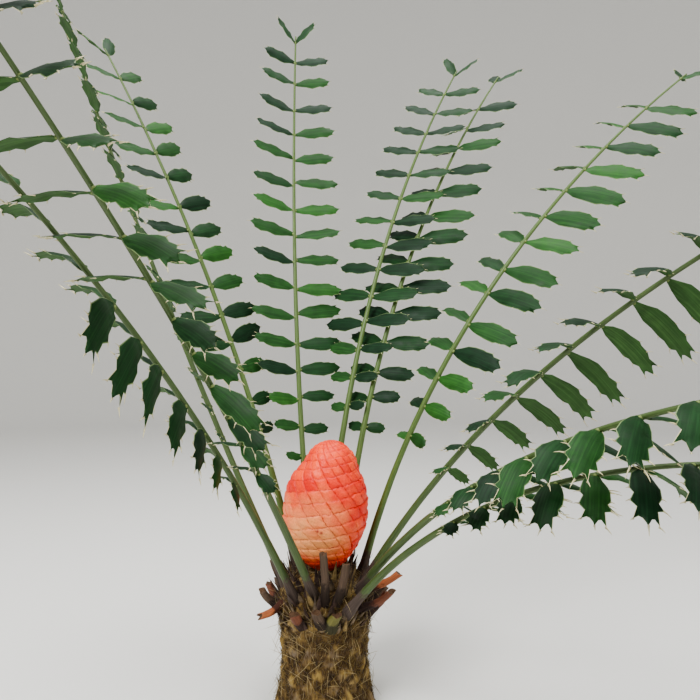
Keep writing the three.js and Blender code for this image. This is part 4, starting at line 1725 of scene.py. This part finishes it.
    def build(self) -> None:
        """Makes all the stubs as one piece, in their finishes."""
        plans = self.plans()
        stubs = [self.stub(plan, k) for k, plan in enumerate(plans)]
        rings, uv, age = (np.stack(values) for values in zip(*stubs))
        skin = loft(rings, rings[:, 0].mean(axis=1), rings[:, -1].mean(axis=1))
        skin.uv = loft_values(uv)
        skin.marks = {"age": loft_values(age)}
        # The rind's number and the pith's for each stub, first along its sides and then at its ends
        ends = np.array([(plan.kind.value, len(StubKind)) for plan in plans])
        sides = np.repeat(ends, (self.rows - 1, len(self.caps)), axis=1)
        skin.finish = np.repeat(np.append(sides, ends), self.columns)
        add_piece("cut_petioles", skin, STUBS, self.nodes())


# The studio


@dataclass
class Studio:
    """A pale floor that rises to a round wall, three soft lights, and the photograph's camera."""

    camera_place: tuple[float, float, float] = (0.065, -1.81, 0.90)
    sensor: float = 36.0
    lens: float = 36.0
    floor_radius: float = 7.0
    wall_radius: float = 3.0
    wall_height: float = 7.0
    sides: int = 96
    view_range: float = 60.0
    # Each light's name, place, length of a side and power
    lights: tuple[tuple[str, tuple[float, float, float], float, float], ...] = (
        ("key_light", (-2.2, -3.0, 4.2), 2.4, 290),
        ("fill_light", (3.6, -2.6, 2.6), 3.0, 90),
        ("top_light", (0.3, 0.4, 5.0), 3.0, 130),
    )
    aim: tuple[float, float, float] = (0, 0, 0.9)
    world_strength: float = 0.45

    def floor(self) -> None:
        """A flat disc whose rim turns up through a quarter circle, a profile turned round Z."""
        angle = np.linspace(0, np.pi / 2, 16)
        rim = self.floor_radius + self.wall_radius * np.sin(angle)
        radius = np.concatenate([[0.4, 2.0, 4.5], rim, rim[-1:]])[:, None]
        rise = self.wall_radius * (1 - np.cos(angle))
        height = np.concatenate([[0, 0, 0], rise, [self.wall_height]])[:, None]
        turn = np.linspace(0, 2 * np.pi, self.sides, endpoint=False)
        rings = stacked(radius * np.cos(turn), radius * np.sin(turn), height).reshape(-1, 3)
        points = np.append(rings, [[0.0, 0.0, 0.0]], axis=0) - UP * MM
        j = np.arange(self.sides)
        quads = ring_faces(len(radius), self.sides)[:, ::-1]
        triangles = stacked(j, (j + 1) % self.sides, len(rings))
        faces = len(quads) + len(triangles)
        skin = Skin(points, quads, triangles, np.zeros(faces, int), np.zeros(faces, bool), points[:, :2])
        floor = new_object("studio_floor", skin, (MattPaint(),))

    def light(self, name: str, place: tuple[float, float, float], size: float, power: float) -> None:
        """A square soft light that faces the middle of the plant.

        Args:
            name: Its name.
            place: Where it hangs.
            size: Metres along a side.
            power: Watts.
        """
        lamp = bpy.data.lights.new(name, "AREA")
        lamp.size = size
        lamp.energy = power
        holder = bpy.data.objects.new(name, lamp)
        holder.location = place
        away = np.array(place) - self.aim
        flat = math.hypot(away[0], away[1])
        holder.rotation_euler = (math.atan2(flat, away[2]), 0, math.atan2(away[0], -away[1]))
        bpy.context.scene.collection.objects.link(holder)

    def camera(self) -> None:
        """The photograph's camera, which looks level along +Y."""
        data = bpy.data.cameras.new("camera")
        data.sensor_width = self.sensor
        data.lens = self.lens
        data.clip_end = self.view_range
        camera = bpy.data.objects.new("camera", data)
        camera.location = self.camera_place
        camera.rotation_euler = (math.pi / 2, 0, 0)
        bpy.context.scene.collection.objects.link(camera)
        bpy.context.scene.camera = camera

    def build(self) -> None:
        """Makes the floor, the lights, the world and the camera."""
        self.floor()
        for sizes in self.lights:
            self.light(*sizes)
        world = bpy.data.worlds.new("studio_world")
        world.use_nodes = True
        background = world.node_tree.nodes["Background"]
        background.inputs["Color"].default_value = (1, 1, 1, 1)
        background.inputs["Strength"].default_value = self.world_strength
        scene = bpy.context.scene
        scene.world = world
        scene.view_settings.view_transform = "AgX"
        scene.view_settings.look = "AgX - Medium High Contrast"
        self.camera()


def main() -> None:
    """Builds the studio and the plant, piece by piece."""
    logging.basicConfig(level=logging.INFO, format="%(name)s: %(message)s")
    Studio().build()
    stubs = CutPetioles(Trunk())
    stubs.build()
    taken = [plan.foot() for plan in FRONDS] + [stubs.frame_of(plan)[0] for plan in stubs.plans()]
    Trunk(taken=np.array(taken)).build()
    SeedCone().build()
    for number, plan in enumerate(FRONDS):
        Frond(plan, Leaflet(), number).build()
    bpy.context.view_layer.update()


if __name__ == "__main__":
    main()
